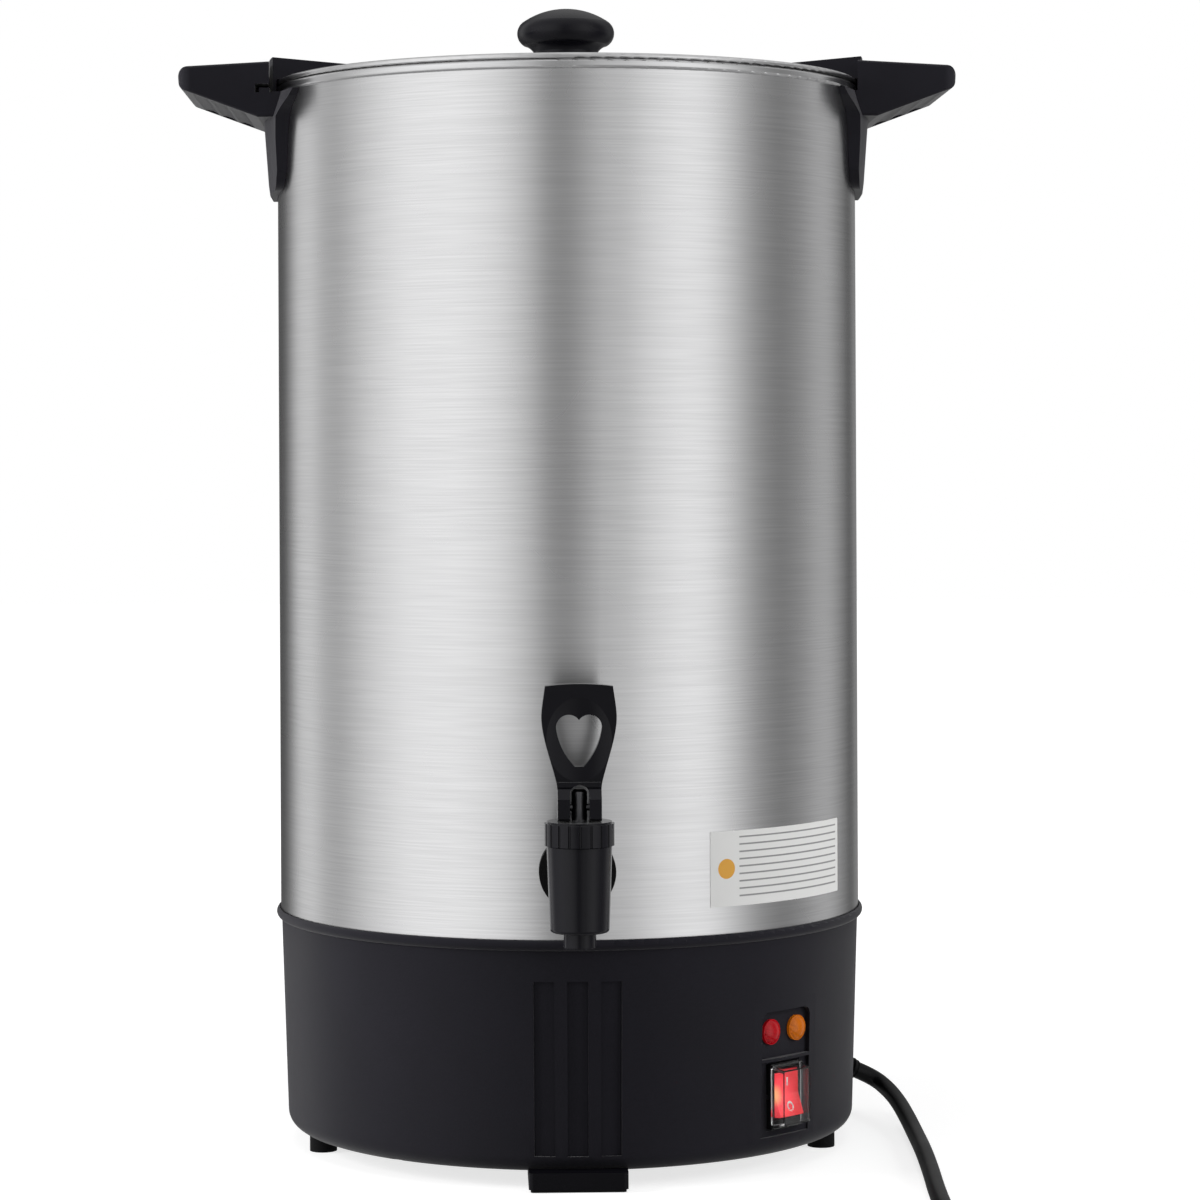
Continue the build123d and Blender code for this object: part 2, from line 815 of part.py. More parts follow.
# ---------------------------------------------------------------- handles
handle_seat = pot_radius + fit_gap
lug_wall_inner = lid_hem_radius + 2 * slide_gap
lug_wall_outer = lug_wall_inner + lug_wall
toe_radius = lug_wall_inner + lug_wall + toe_reach
handle_arc_middle = lug_wall_outer + lug_wall_gap
handle_arc_edge = handle_arc_middle - handle_arc_depth
far_side = 1.5 * handle_half_width
handle_arc_start = (sqrt(handle_arc_middle ** 2 - far_side ** 2), -far_side)
handle_arc_sphere = (far_side ** 2 + handle_arc_depth ** 2) / (2 * handle_arc_depth)
handle_arc_half = handle_arc_middle - handle_arc_sphere + sqrt(handle_arc_sphere ** 2 - far_side ** 2 / 4)

with BuildPart() as saddle:
    # Leg and ears: a band that hugs the pot, cut to the outline seen from outside.
    with BuildSketch(section_plane(-leg_band_half_angle)):
        with BuildLine():
            Polyline(
                (handle_seat, leg_bottom - 1),
                (handle_seat + leg_toe_thickness, leg_bottom - 1),
                (handle_seat + leg_end_thickness - 0.6, leg_bottom + leg_toe_rise),
                (handle_seat + leg_end_thickness, leg_bottom + 3 * leg_toe_rise),
                (handle_seat + leg_top_thickness, handle_under_height),
                (handle_seat + saddle_thickness, saddle_height - 4),
                (handle_seat + saddle_thickness - 1, saddle_height),
                (handle_seat, saddle_height),
                close=True,
            )
        make_face()
    revolve(axis=Axis.Z, revolution_arc=2 * leg_band_half_angle)
    with BuildSketch(Plane.YZ):
        with BuildLine():
            FilletPolyline(
                (saddle_half_width, saddle_height),
                (saddle_half_width - ear_edge_width, saddle_height - ear_edge_height),
                (leg_half_width + ear_root_width, handle_under_height + ear_root_height),
                (leg_half_width + leg_flare, handle_under_height - leg_flare_drop),
                (leg_half_width - leg_taper, leg_bottom + leg_shoulder_height),
                (leg_half_width - leg_toe_width, leg_bottom + leg_toe_height),
                (0, leg_bottom),
                radius=leg_corners,
            )
            Line((0, leg_bottom), (0, saddle_height))
            Line((0, saddle_height), (saddle_half_width, saddle_height))
        make_face()
        mirror(about=Plane.YZ)
    extrude(amount=handle_reach, mode=Mode.INTERSECT)

with BuildPart() as grip:
    with BuildSketch(Plane.XZ):
        with BuildLine():
            FilletPolyline(
                (handle_seat - 4, handle_top_inner),
                (handle_reach, handle_top_outer),
                (handle_reach - 0.8, handle_top_outer - handle_tip_height),
                (handle_seat + leg_top_thickness + 0.8, handle_under_height),
                (handle_seat - 4, handle_under_height),
                radius=(0, 4.5, 4.0, 0, 0),
                close=True,
            )
        make_face()
    extrude(amount=handle_half_width, both=True)
    fillet(grip.faces().filter_by(Axis.Y).edges(), handle_edge)
    # Rounded outer corners, seen from above
    with BuildSketch(Plane.XY.offset(handle_under_height)):
        with Locations((handle_reach / 2, 0)):
            RectangleRounded(handle_reach, 2 * handle_half_width, handle_corner)
    extrude(amount=2 * handle_tip_height + handle_top_inner - handle_under_height, mode=Mode.INTERSECT)
    # Finger scallops along the underside
    under_start = Vector(handle_seat + leg_top_thickness + 0.8, 0, handle_under_height)
    under_end = Vector(handle_reach - 0.8, 0, handle_top_outer - handle_tip_height)
    under_way = (under_end - under_start).normalized()
    under_out = Vector(under_way.Z, 0, -under_way.X)
    with BuildSketch(Plane.XZ):
        for step in range(scallop_count):
            middle = (under_start + under_end) / 2 + under_way * scallop_pitch * (step - 1)
            centre = middle + under_out * (scallop_radius - scallop_depth)
            with Locations((centre.X, centre.Z)):
                Circle(scallop_radius)
    extrude(amount=handle_half_width - 3 * handle_edge, both=True, mode=Mode.SUBTRACT)

with BuildPart() as handle_right:
    add(grip.part)
    # Room for the pot below the rim, and for the lid's lugs above it
    with BuildSketch(Plane.XY.offset(leg_bottom - 1)):
        Circle(handle_seat)
    extrude(amount=saddle_height - leg_bottom + 1, mode=Mode.SUBTRACT)
    with BuildSketch(Plane.XY.offset(saddle_height)):
        with BuildLine():
            Polyline(
                (handle_arc_edge, far_side), (0, far_side), (0, -far_side), handle_arc_start
            )
            ThreePointArc(handle_arc_start, polar_point(-12, handle_arc_middle), (handle_arc_middle, 0))
            ThreePointArc(
                (handle_arc_middle, 0), (handle_arc_half, far_side / 2), (handle_arc_edge, far_side)
            )
        make_face()
    extrude(amount=2 * handle_tip_height + handle_top_inner - saddle_height, mode=Mode.SUBTRACT)
    add(saddle.part)
    # Pocket that takes a lug's toe as the lid comes down
    with BuildSketch(Plane.XY.offset(groove_bottom)):
        with BuildLine():
            pocket_start = polar_point(-lug_half_angle - 1.5, toe_radius + 0.5)
            pocket_middle = polar_point(-lug_half_angle / 2, toe_radius + 0.5)
            pocket_end = polar_point(0.5, toe_radius + 0.5)
            ThreePointArc(pocket_start, pocket_middle, pocket_end)
            Polyline(
                pocket_end,
                polar_point(0.5, handle_seat),
                polar_point(-lug_half_angle - 1.5, handle_seat),
                pocket_start,
            )
        make_face()
    extrude(amount=handle_top_inner - groove_bottom, mode=Mode.SUBTRACT)
    # Groove that the toe turns into, under the keeper, and the rib that stops it
    with BuildSketch(Plane.XY.offset(groove_bottom)):
        with Locations((handle_seat, -lug_half_angle)):
            Rectangle(
                groove_reach - handle_seat,
                far_side + lug_half_angle,
                align=(Align.MIN, Align.MIN),
            )
    extrude(amount=keeper_bottom - groove_bottom, mode=Mode.SUBTRACT)
    with BuildSketch(Plane.XY.offset(groove_bottom - fit_gap)):
        with Locations((handle_arc_middle - 2.5, handle_half_width)):
            Rectangle(
                stop_rib_reach - handle_arc_middle + 2.5,
                stop_rib_width,
                align=(Align.MIN, Align.MAX),
            )
    extrude(amount=stop_rib_height + fit_gap)
    # Blind holes for the two screws from inside the pot
    for azimuth in (-handle_screw_angle, handle_screw_angle):
        with BuildSketch(radial_plane(azimuth, pot_inner_radius, handle_screw_height)):
            Circle(handle_screw_radius + fit_gap)
        extrude(amount=handle_screw_length, mode=Mode.SUBTRACT)
finish(handle_right, "handle_right")

with BuildPart() as handle_left:
    add(handle_right.part, rotation=(0, 0, 180))
finish(handle_left, "handle_left")

with BuildPart() as handle_gaskets:
    for azimuth in handle_screw_azimuths:
        gasket_face = sqrt(pot_inner_radius ** 2 - gasket_radius ** 2) - fit_gap
        with BuildSketch(radial_plane(azimuth, gasket_face, handle_screw_height)):
            Circle(gasket_radius)
            Circle(handle_screw_radius + fit_gap, mode=Mode.SUBTRACT)
        extrude(amount=-gasket_height)
finish(handle_gaskets, "handle_gaskets")

with BuildPart() as handle_screws:
    for azimuth in handle_screw_azimuths:
        head_face = gasket_face - gasket_height - fit_gap
        with BuildSketch(radial_plane(azimuth, head_face, handle_screw_height)):
            Circle(handle_screw_head_radius)
        extrude(amount=-handle_screw_head_height)
        with BuildSketch(radial_plane(azimuth, head_face, handle_screw_height)):
            Circle(handle_screw_radius)
        extrude(amount=handle_screw_length)
finish(handle_screws, "handle_screws")

# ---------------------------------------------------------------- lid and its twist lock
hem_bottom = rim_height + slide_gap
hem_top = hem_bottom + lid_hem_height
skirt_radius = pot_inner_radius - lid_skirt_gap
lug_bottom = saddle_height + slide_gap

with BuildPart() as lid_panel:
    with BuildSketch(Plane.XZ):
        with BuildLine():
            dome_top = ThreePointArc(
                (0, lid_dome_top),
                (lid_dome_radius / 2, dome_height(lid_dome_radius / 2)),
                (lid_dome_radius, dome_height(lid_dome_radius)),
            )
            hem = FilletPolyline(
                dome_top @ 1,
                (lid_dome_radius + 0.7, hem_top),
                (lid_hem_radius, hem_top),
                (lid_hem_radius, hem_bottom),
                (skirt_radius, hem_bottom),
                (skirt_radius, hem_bottom - lid_skirt_height),
                (skirt_radius - lid_sheet, hem_bottom - lid_skirt_height),
                (skirt_radius - lid_sheet, dome_height(skirt_radius - lid_sheet) - lid_sheet),
                radius=(0, 1.1, 0.9, 0, 0, 0),
            )
            ThreePointArc(
                hem @ 1,
                (lid_dome_radius / 2, dome_height(lid_dome_radius / 2) - lid_sheet),
                (0, lid_dome_top - lid_sheet),
            )
            Line((0, lid_dome_top - lid_sheet), (0, lid_dome_top))
        make_face()
    revolve(axis=Axis.Z)
    with BuildSketch(Plane.XY.offset(hem_bottom)):
        Circle(knob_screw_radius + 2 * fit_gap)
        for side in (0, 180):
            for circle in rivet_circles:
                with Locations(polar_point(side, circle)):
                    Circle(rivet_radius + fit_gap)
    extrude(amount=lid_dome_top, mode=Mode.SUBTRACT)
finish(lid_panel, "lid_panel")

with BuildPart() as lid_lug_right:
    with BuildSketch(section_plane(-lug_half_angle)):
        with BuildLine():
            under_arc = ThreePointArc(
                (lug_inner_radius, dome_height(lug_inner_radius) + fit_gap),
                ((lug_inner_radius + lid_dome_radius) / 2,
                 dome_height((lug_inner_radius + lid_dome_radius) / 2) + fit_gap),
                (lid_dome_radius - 0.5, dome_height(lid_dome_radius - 0.5) + fit_gap),
            )
            Polyline(
                under_arc @ 1,
                (lid_dome_radius - 0.5, hem_top + fit_gap),
                (lug_wall_inner, hem_top + fit_gap),
                (lug_wall_inner, lug_bottom),
                (lug_wall_outer, lug_bottom),
                (lug_wall_outer, lug_top_height),
                (lug_inner_radius + 1, dome_height(lug_inner_radius) + lug_inner_height + 1),
                (lug_inner_radius, dome_height(lug_inner_radius) + lug_inner_height),
                under_arc @ 0,
            )
        make_face()
    revolve(axis=Axis.Z, revolution_arc=2 * lug_half_angle)
    with BuildSketch(section_plane(-lug_half_angle)):
        with BuildLine():
            Polyline(
                (lug_wall_inner + lug_wall / 2, toe_bottom),
                (toe_radius, toe_bottom),
                (toe_radius, toe_bottom + toe_height),
                (lug_wall_inner + lug_wall / 2, toe_bottom + toe_height),
                close=True,
            )
        make_face()
    revolve(axis=Axis.Z, revolution_arc=lug_half_angle - toe_side_angle)
    with BuildSketch(Plane.XY.offset(hem_bottom)):
        for circle in rivet_circles:
            with Locations((circle, 0)):
                Circle(rivet_radius + fit_gap)
    extrude(amount=lug_top_height - hem_bottom - rivet_depth, mode=Mode.SUBTRACT)
finish(lid_lug_right, "lid_lug_right")

with BuildPart() as lid_lug_left:
    add(lid_lug_right.part, rotation=(0, 0, 180))
finish(lid_lug_left, "lid_lug_left")

with BuildPart() as lid_lug_rivets:
    for circle in rivet_circles:
        head_top = dome_height(circle + rivet_head_radius) - lid_sheet - fit_gap
        shank_top = lug_top_height - rivet_depth - fit_gap
        with BuildSketch(Plane.XY.offset(head_top)):
            with Locations((circle, 0), (-circle, 0)):
                Circle(rivet_head_radius)
        extrude(amount=-rivet_head_height)
        with BuildSketch(Plane.XY.offset(head_top)):
            with Locations((circle, 0), (-circle, 0)):
                Circle(rivet_radius)
        extrude(amount=shank_top - head_top)
finish(lid_lug_rivets, "lid_lug_rivets")

# ---------------------------------------------------------------- knob
washer_bottom = lid_dome_top + slide_gap
knob_bottom = washer_bottom + knob_washer_height
knob_top = knob_bottom + knob_height
screw_face = lid_dome_top - lid_sheet - slide_gap
crown_drop = 0.25 * knob_height
crown_sphere = ((0.90 * knob_radius) ** 2 + crown_drop ** 2) / (2 * crown_drop)
crown_middle = knob_top - crown_sphere + sqrt(crown_sphere ** 2 - (0.45 * knob_radius) ** 2)

with BuildPart() as knob_washer:
    with BuildSketch(Plane.XY.offset(washer_bottom)):
        Circle(knob_washer_radius)
        Circle(knob_screw_radius + fit_gap, mode=Mode.SUBTRACT)
    extrude(amount=knob_washer_height)
finish(knob_washer, "knob_washer")

with BuildPart() as lid_knob:
    with BuildSketch(Plane.XZ):
        with BuildLine():
            neck_top = (knob_neck_radius, knob_bottom + 0.22 * knob_height)
            cove_end = (0.87 * knob_radius, knob_bottom + 0.35 * knob_height)
            shoulder = (0.90 * knob_radius, knob_top - crown_drop)
            Polyline((0, knob_top), (0, knob_bottom), (knob_neck_radius, knob_bottom), neck_top)
            ThreePointArc(
                neck_top,
                (knob_neck_radius + 1.4, knob_bottom + 0.285 * knob_height),
                cove_end,
            )
            ThreePointArc(cove_end, (knob_radius, knob_bottom + 0.54 * knob_height), shoulder)
            ThreePointArc(shoulder, (0.45 * knob_radius, crown_middle), (0, knob_top))
        make_face()
    revolve(axis=Axis.Z)
    with BuildSketch(Plane.XY.offset(knob_bottom)):
        Circle(knob_screw_radius + fit_gap)
    extrude(amount=knob_screw_length - knob_washer_height, mode=Mode.SUBTRACT)
finish(lid_knob, "lid_knob")

with BuildPart() as knob_screw:
    with BuildSketch(Plane.XY.offset(screw_face)):
        Circle(knob_screw_head_radius)
    extrude(amount=-knob_screw_head_height)
    with BuildSketch(Plane.XY.offset(screw_face)):
        Circle(knob_screw_radius)
    extrude(amount=knob_screw_length)
finish(knob_screw, "knob_screw")

# ---------------------------------------------------------------- brew set
tube_bottom = sump_floor + slide_gap
foot_top = tube_bottom + pump_foot_height
basket_floor = basket_shelf_height + 1 + slide_gap
basket_top = basket_floor + basket_height
guide_radius = pump_tube_radius + basket_guide_gap

with BuildPart() as pump_tube:
    with BuildSketch(Plane.XY.offset(foot_top - pump_foot_sheet)):
        Circle(pump_tube_radius)
        Circle(pump_tube_radius - pump_tube_wall, mode=Mode.SUBTRACT)
    extrude(amount=pump_tube_top - foot_top + pump_foot_sheet)
    # Shelf that carries the basket
    with BuildSketch(Plane.XY.offset(basket_shelf_height)):
        Circle(basket_shelf_radius)
        Circle(pump_tube_radius - pump_tube_wall / 2, mode=Mode.SUBTRACT)
    extrude(amount=1)
finish(pump_tube, "pump_tube")

with BuildPart() as pump_foot:
    with BuildSketch(Plane.XZ):
        with BuildLine():
            FilletPolyline(
                (pump_tube_radius + fit_gap, foot_top),
                (pump_foot_radius * 0.55, foot_top),
                (pump_foot_radius, tube_bottom + 1),
                (pump_foot_radius, tube_bottom),
                (pump_foot_radius - pump_foot_sheet, tube_bottom),
                (pump_foot_radius * 0.55 - pump_foot_sheet / 2, foot_top - pump_foot_sheet),
                (pump_tube_radius + fit_gap, foot_top - pump_foot_sheet),
                radius=(0, 3, 0, 0, 0, 2, 0),
                close=True,
            )
        make_face()
    revolve(axis=Axis.Z)
    # Slots that let the water in
    with BuildSketch(Plane.XY.offset(tube_bottom)):
        with PolarLocations(pump_foot_radius, 8):
            Rectangle(6, 4)
    extrude(amount=1.5, mode=Mode.SUBTRACT)
finish(pump_foot, "pump_foot")

with BuildPart() as coffee_basket:
    with BuildSketch(Plane.XZ):
        with BuildLine():
            FilletPolyline(
                (guide_radius, basket_floor),
                (basket_radius, basket_floor),
                (basket_radius, basket_top),
                (basket_radius - basket_bead_width, basket_top),
                (basket_radius - basket_bead_width, basket_top - basket_bead_width),
                (basket_radius - basket_sheet, basket_top - basket_bead_width),
                (basket_radius - basket_sheet, basket_floor + basket_sheet),
                (guide_radius + basket_guide_wall, basket_floor + basket_sheet),
                (guide_radius + basket_guide_wall, basket_top - cover_rise),
                (guide_radius, basket_top - cover_rise),
                radius=(0, 5, 0.8, 0.8, 0.6, 0, 4.3, 1.5, 0, 0),
                close=True,
            )
        make_face()
    revolve(axis=Axis.Z)
    with BuildSketch(Plane.XY.offset(basket_floor)):
        for circle in basket_hole_circles:
            with PolarLocations(circle, round(2 * pi * circle / basket_hole_pitch)):
                Circle(basket_hole_radius)
    extrude(amount=basket_sheet, mode=Mode.SUBTRACT)
finish(coffee_basket, "coffee_basket")

with BuildPart() as basket_cover:
    cover_edge = basket_radius - basket_bead_width - slide_gap
    cover_seat = basket_top + slide_gap
    with BuildSketch(Plane.XZ):
        with BuildLine():
            FilletPolyline(
                (guide_radius + slide_gap, cover_seat - cover_rise / 2),
                (cover_edge - cover_flange, cover_seat - cover_rise / 2),
                (cover_edge - cover_flange + 1, cover_seat),
                (basket_radius, cover_seat),
                (basket_radius, cover_seat + basket_sheet),
                (cover_edge - cover_flange, cover_seat + basket_sheet),
                (cover_edge - cover_flange - 1, cover_seat - cover_rise / 2 + basket_sheet),
                (guide_radius + slide_gap, cover_seat - cover_rise / 2 + basket_sheet),
                radius=(0, 0.5, 0.5, 0.3, 0.3, 0.5, 0.5, 0),
                close=True,
            )
        make_face()
    revolve(axis=Axis.Z)
    with BuildSketch(Plane.XY.offset(cover_seat - cover_rise / 2)):
        for circle in basket_hole_circles:
            with PolarLocations(circle, round(pi * circle / basket_hole_pitch)):
                Circle(basket_hole_radius)
    extrude(amount=basket_sheet, mode=Mode.SUBTRACT)
finish(basket_cover, "basket_cover")

# ---------------------------------------------------------------- tap
tap_axis = (0, -tap_reach)
pot_inner_cut = pot_inner_radius - fit_gap


def along_shank(front):
    """Upright plane across the tap's shank, at a distance in front of the pot's axis."""
    return Plane(origin=(0, -front, tap_height), x_dir=(1, 0, 0), z_dir=(0, -1, 0))


with BuildPart() as tap_body:
    with BuildSketch(Plane(origin=(0, -tap_reach, 0), x_dir=(1, 0, 0), z_dir=(0, -1, 0))):
        with BuildLine():
            FilletPolyline(
                (0, spout_bottom),
                (spout_radius, spout_bottom),
                (spout_radius, tap_body_bottom),
                (tap_bottom_radius, tap_body_bottom),
                (tap_top_radius, tap_body_top),
                (0, tap_body_top),
                radius=(0, 0.6, 0.4, tap_edge, 0.5, 0),
                close=True,
            )
        make_face()
    revolve(axis=Axis(origin=(0, -tap_reach, 0), direction=(0, 0, 1)))
    with BuildSketch(along_shank(tap_reach - tap_bottom_radius / 2)):
        Circle(collar_radius)
    extrude(amount=collar_front - tap_reach + tap_bottom_radius / 2)
    with BuildSketch(along_shank(collar_front)):
        Circle(shank_radius)
    extrude(amount=shank_end - collar_front)
    with BuildSketch(along_shank(tap_reach)):
        Circle(passage_radius)
    extrude(amount=shank_end - tap_reach, mode=Mode.SUBTRACT)
    with BuildSketch(Plane.XY.offset(chamber_floor)):
        with Locations(tap_axis):
            Circle(chamber_radius)
    extrude(amount=tap_body_top - chamber_floor, mode=Mode.SUBTRACT)
    with BuildSketch(Plane.XY.offset(spout_bottom)):
        with Locations(tap_axis):
            Circle(outlet_radius)
    extrude(amount=chamber_floor - spout_bottom, mode=Mode.SUBTRACT)
finish(tap_body, "tap_body")

with BuildPart() as tap_flange_washer:
    with BuildSketch(along_shank(collar_front - fit_gap)):
        Circle(flange_washer_radius)
        Circle(shank_radius + fit_gap, mode=Mode.SUBTRACT)
    extrude(amount=pot_inner_radius - 3 - collar_front)
    with BuildSketch(Plane.XY.offset(tap_height - flange_washer_radius)):
        Circle(pot_radius + fit_gap)
    extrude(amount=2 * flange_washer_radius, mode=Mode.SUBTRACT)
finish(tap_flange_washer, "tap_flange_washer")

inner_washer_face = pot_inner_radius - inner_washer_height
with BuildPart() as tap_inner_washer:
    with BuildSketch(along_shank(inner_washer_face)):
        Circle(inner_washer_radius)
        Circle(shank_radius + fit_gap, mode=Mode.SUBTRACT)
    extrude(amount=inner_washer_height)
    with BuildSketch(Plane.XY.offset(tap_height - inner_washer_radius)):
        Circle(pot_inner_cut)
    extrude(amount=2 * inner_washer_radius, mode=Mode.INTERSECT)
finish(tap_inner_washer, "tap_inner_washer")

with BuildPart() as tap_nut:
    with BuildSketch(along_shank(inner_washer_face - fit_gap)):
        RegularPolygon(tap_nut_flats / 2, 6, major_radius=False)
        Circle(shank_radius + fit_gap, mode=Mode.SUBTRACT)
    extrude(amount=-tap_nut_height)
finish(tap_nut, "tap_nut")

with BuildPart() as tap_bonnet:
    with BuildSketch(Plane.XY.offset(tap_body_top + fit_gap)):
        with Locations(tap_axis):
            Circle(bonnet_radius)
            with PolarLocations(bonnet_radius, bonnet_flutes):
                Circle(bonnet_flute_radius, mode=Mode.SUBTRACT)
    extrude(amount=bonnet_top - tap_body_top - fit_gap - 0.8)
    with BuildSketch(Plane.XY.offset(bonnet_top - 0.8)):
        with Locations(tap_axis):
            Circle(bonnet_radius - 1.0)
    extrude(amount=0.8)
    with BuildSketch(Plane.XY.offset(tap_body_top - bonnet_plug_depth)):
        with Locations(tap_axis):
            Circle(chamber_radius - fit_gap)
    extrude(amount=bonnet_plug_depth + 1)
    with BuildSketch(Plane.XY.offset(tap_body_top - bonnet_plug_depth)):
        with Locations(tap_axis):
            Circle(stem_radius + fit_gap)
    extrude(amount=bonnet_top - tap_body_top + bonnet_plug_depth, mode=Mode.SUBTRACT)
finish(tap_bonnet, "tap_bonnet")

cup_bottom = chamber_floor + slide_gap
cup_top = cup_bottom + cup_height + cup_neck_height
with BuildPart() as tap_seat_cup:
    with BuildSketch(Plane.XY.offset(cup_bottom)):
        with Locations(tap_axis):
            Circle(cup_radius)
    extrude(amount=cup_height)
    with BuildSketch(Plane.XY.offset(cup_bottom + cup_height)):
        with Locations(tap_axis):
            Circle(cup_neck_radius)
    extrude(amount=cup_neck_height)
    with BuildSketch(Plane.XY.offset(cup_bottom + cup_floor)):
        with Locations(tap_axis):
            Circle(stem_radius + fit_gap)
    extrude(amount=cup_top - cup_bottom - cup_floor, mode=Mode.SUBTRACT)
finish(tap_seat_cup, "tap_seat_cup")

with BuildPart() as tap_stem:
    with BuildSketch(Plane.XY.offset(cup_bottom + cup_floor + fit_gap)):
        with Locations(tap_axis):
            Circle(stem_radius)
    extrude(amount=stem_top - cup_bottom - cup_floor - fit_gap)
    chamfer(tap_stem.faces().sort_by(Axis.Z)[-1].edges(), stem_radius / 3)
    with BuildSketch(Plane(origin=(0, -tap_reach, pivot_height), z_dir=(1, 0, 0))):
        Circle(pivot_radius + fit_gap)
    extrude(amount=2 * stem_radius, both=True, mode=Mode.SUBTRACT)
finish(tap_stem, "tap_stem")

spring_low = cup_top + fit_gap + spring_wire_radius
spring_high = tap_body_top - bonnet_plug_depth - fit_gap - spring_wire_radius
with BuildPart() as tap_spring:
    with BuildLine():
        spring_line = Helix(
            pitch=(spring_high - spring_low) / spring_turns,
            height=spring_high - spring_low,
            radius=spring_radius,
            center=(0, -tap_reach, spring_low),
        )
    with BuildSketch(Plane(origin=spring_line @ 0, z_dir=spring_line % 0)):
        Circle(spring_wire_radius)
    sweep(path=spring_line)
finish(tap_spring, "tap_spring")

with BuildPart() as tap_pivot_pin:
    with BuildSketch(Plane(origin=(0, -tap_reach, pivot_height), z_dir=(1, 0, 0))):
        Circle(pivot_radius)
    extrude(amount=fork_width / 2 - 0.2, both=True)
finish(tap_pivot_pin, "tap_pivot_pin")

# ---------------------------------------------------------------- tap lever
foot_clear = pivot_height - bonnet_top - slide_gap


def cam_point(tilt):
    """Point of the fork's foot that is lowest when the lever has tilted by an angle in degrees.

    The foot is a flat-faced cam: its lowest point stays level while the stem rises evenly.
    """
    turn = radians(tilt)
    reach = foot_clear + lever_lift_rate * turn
    forward = -reach * sin(turn) - lever_lift_rate * cos(turn)
    down = -reach * cos(turn) + lever_lift_rate * sin(turn)
    return (forward, down)


fork_front = -cam_point(lever_tilt)[0]
dish_half_width = paddle_wide_width / 2 - paddle_border
dish_half_height = (paddle_top_height - fork_top) / 2 - 2.0 * paddle_border
dish_height = (fork_top + paddle_top_height) / 2 - paddle_dish_drop
dish_barrel = (dish_half_width ** 2 + paddle_dish_depth ** 2) / (2 * paddle_dish_depth)
dish_centre = -tap_reach - paddle_thickness / 2 + paddle_dish_depth - dish_barrel

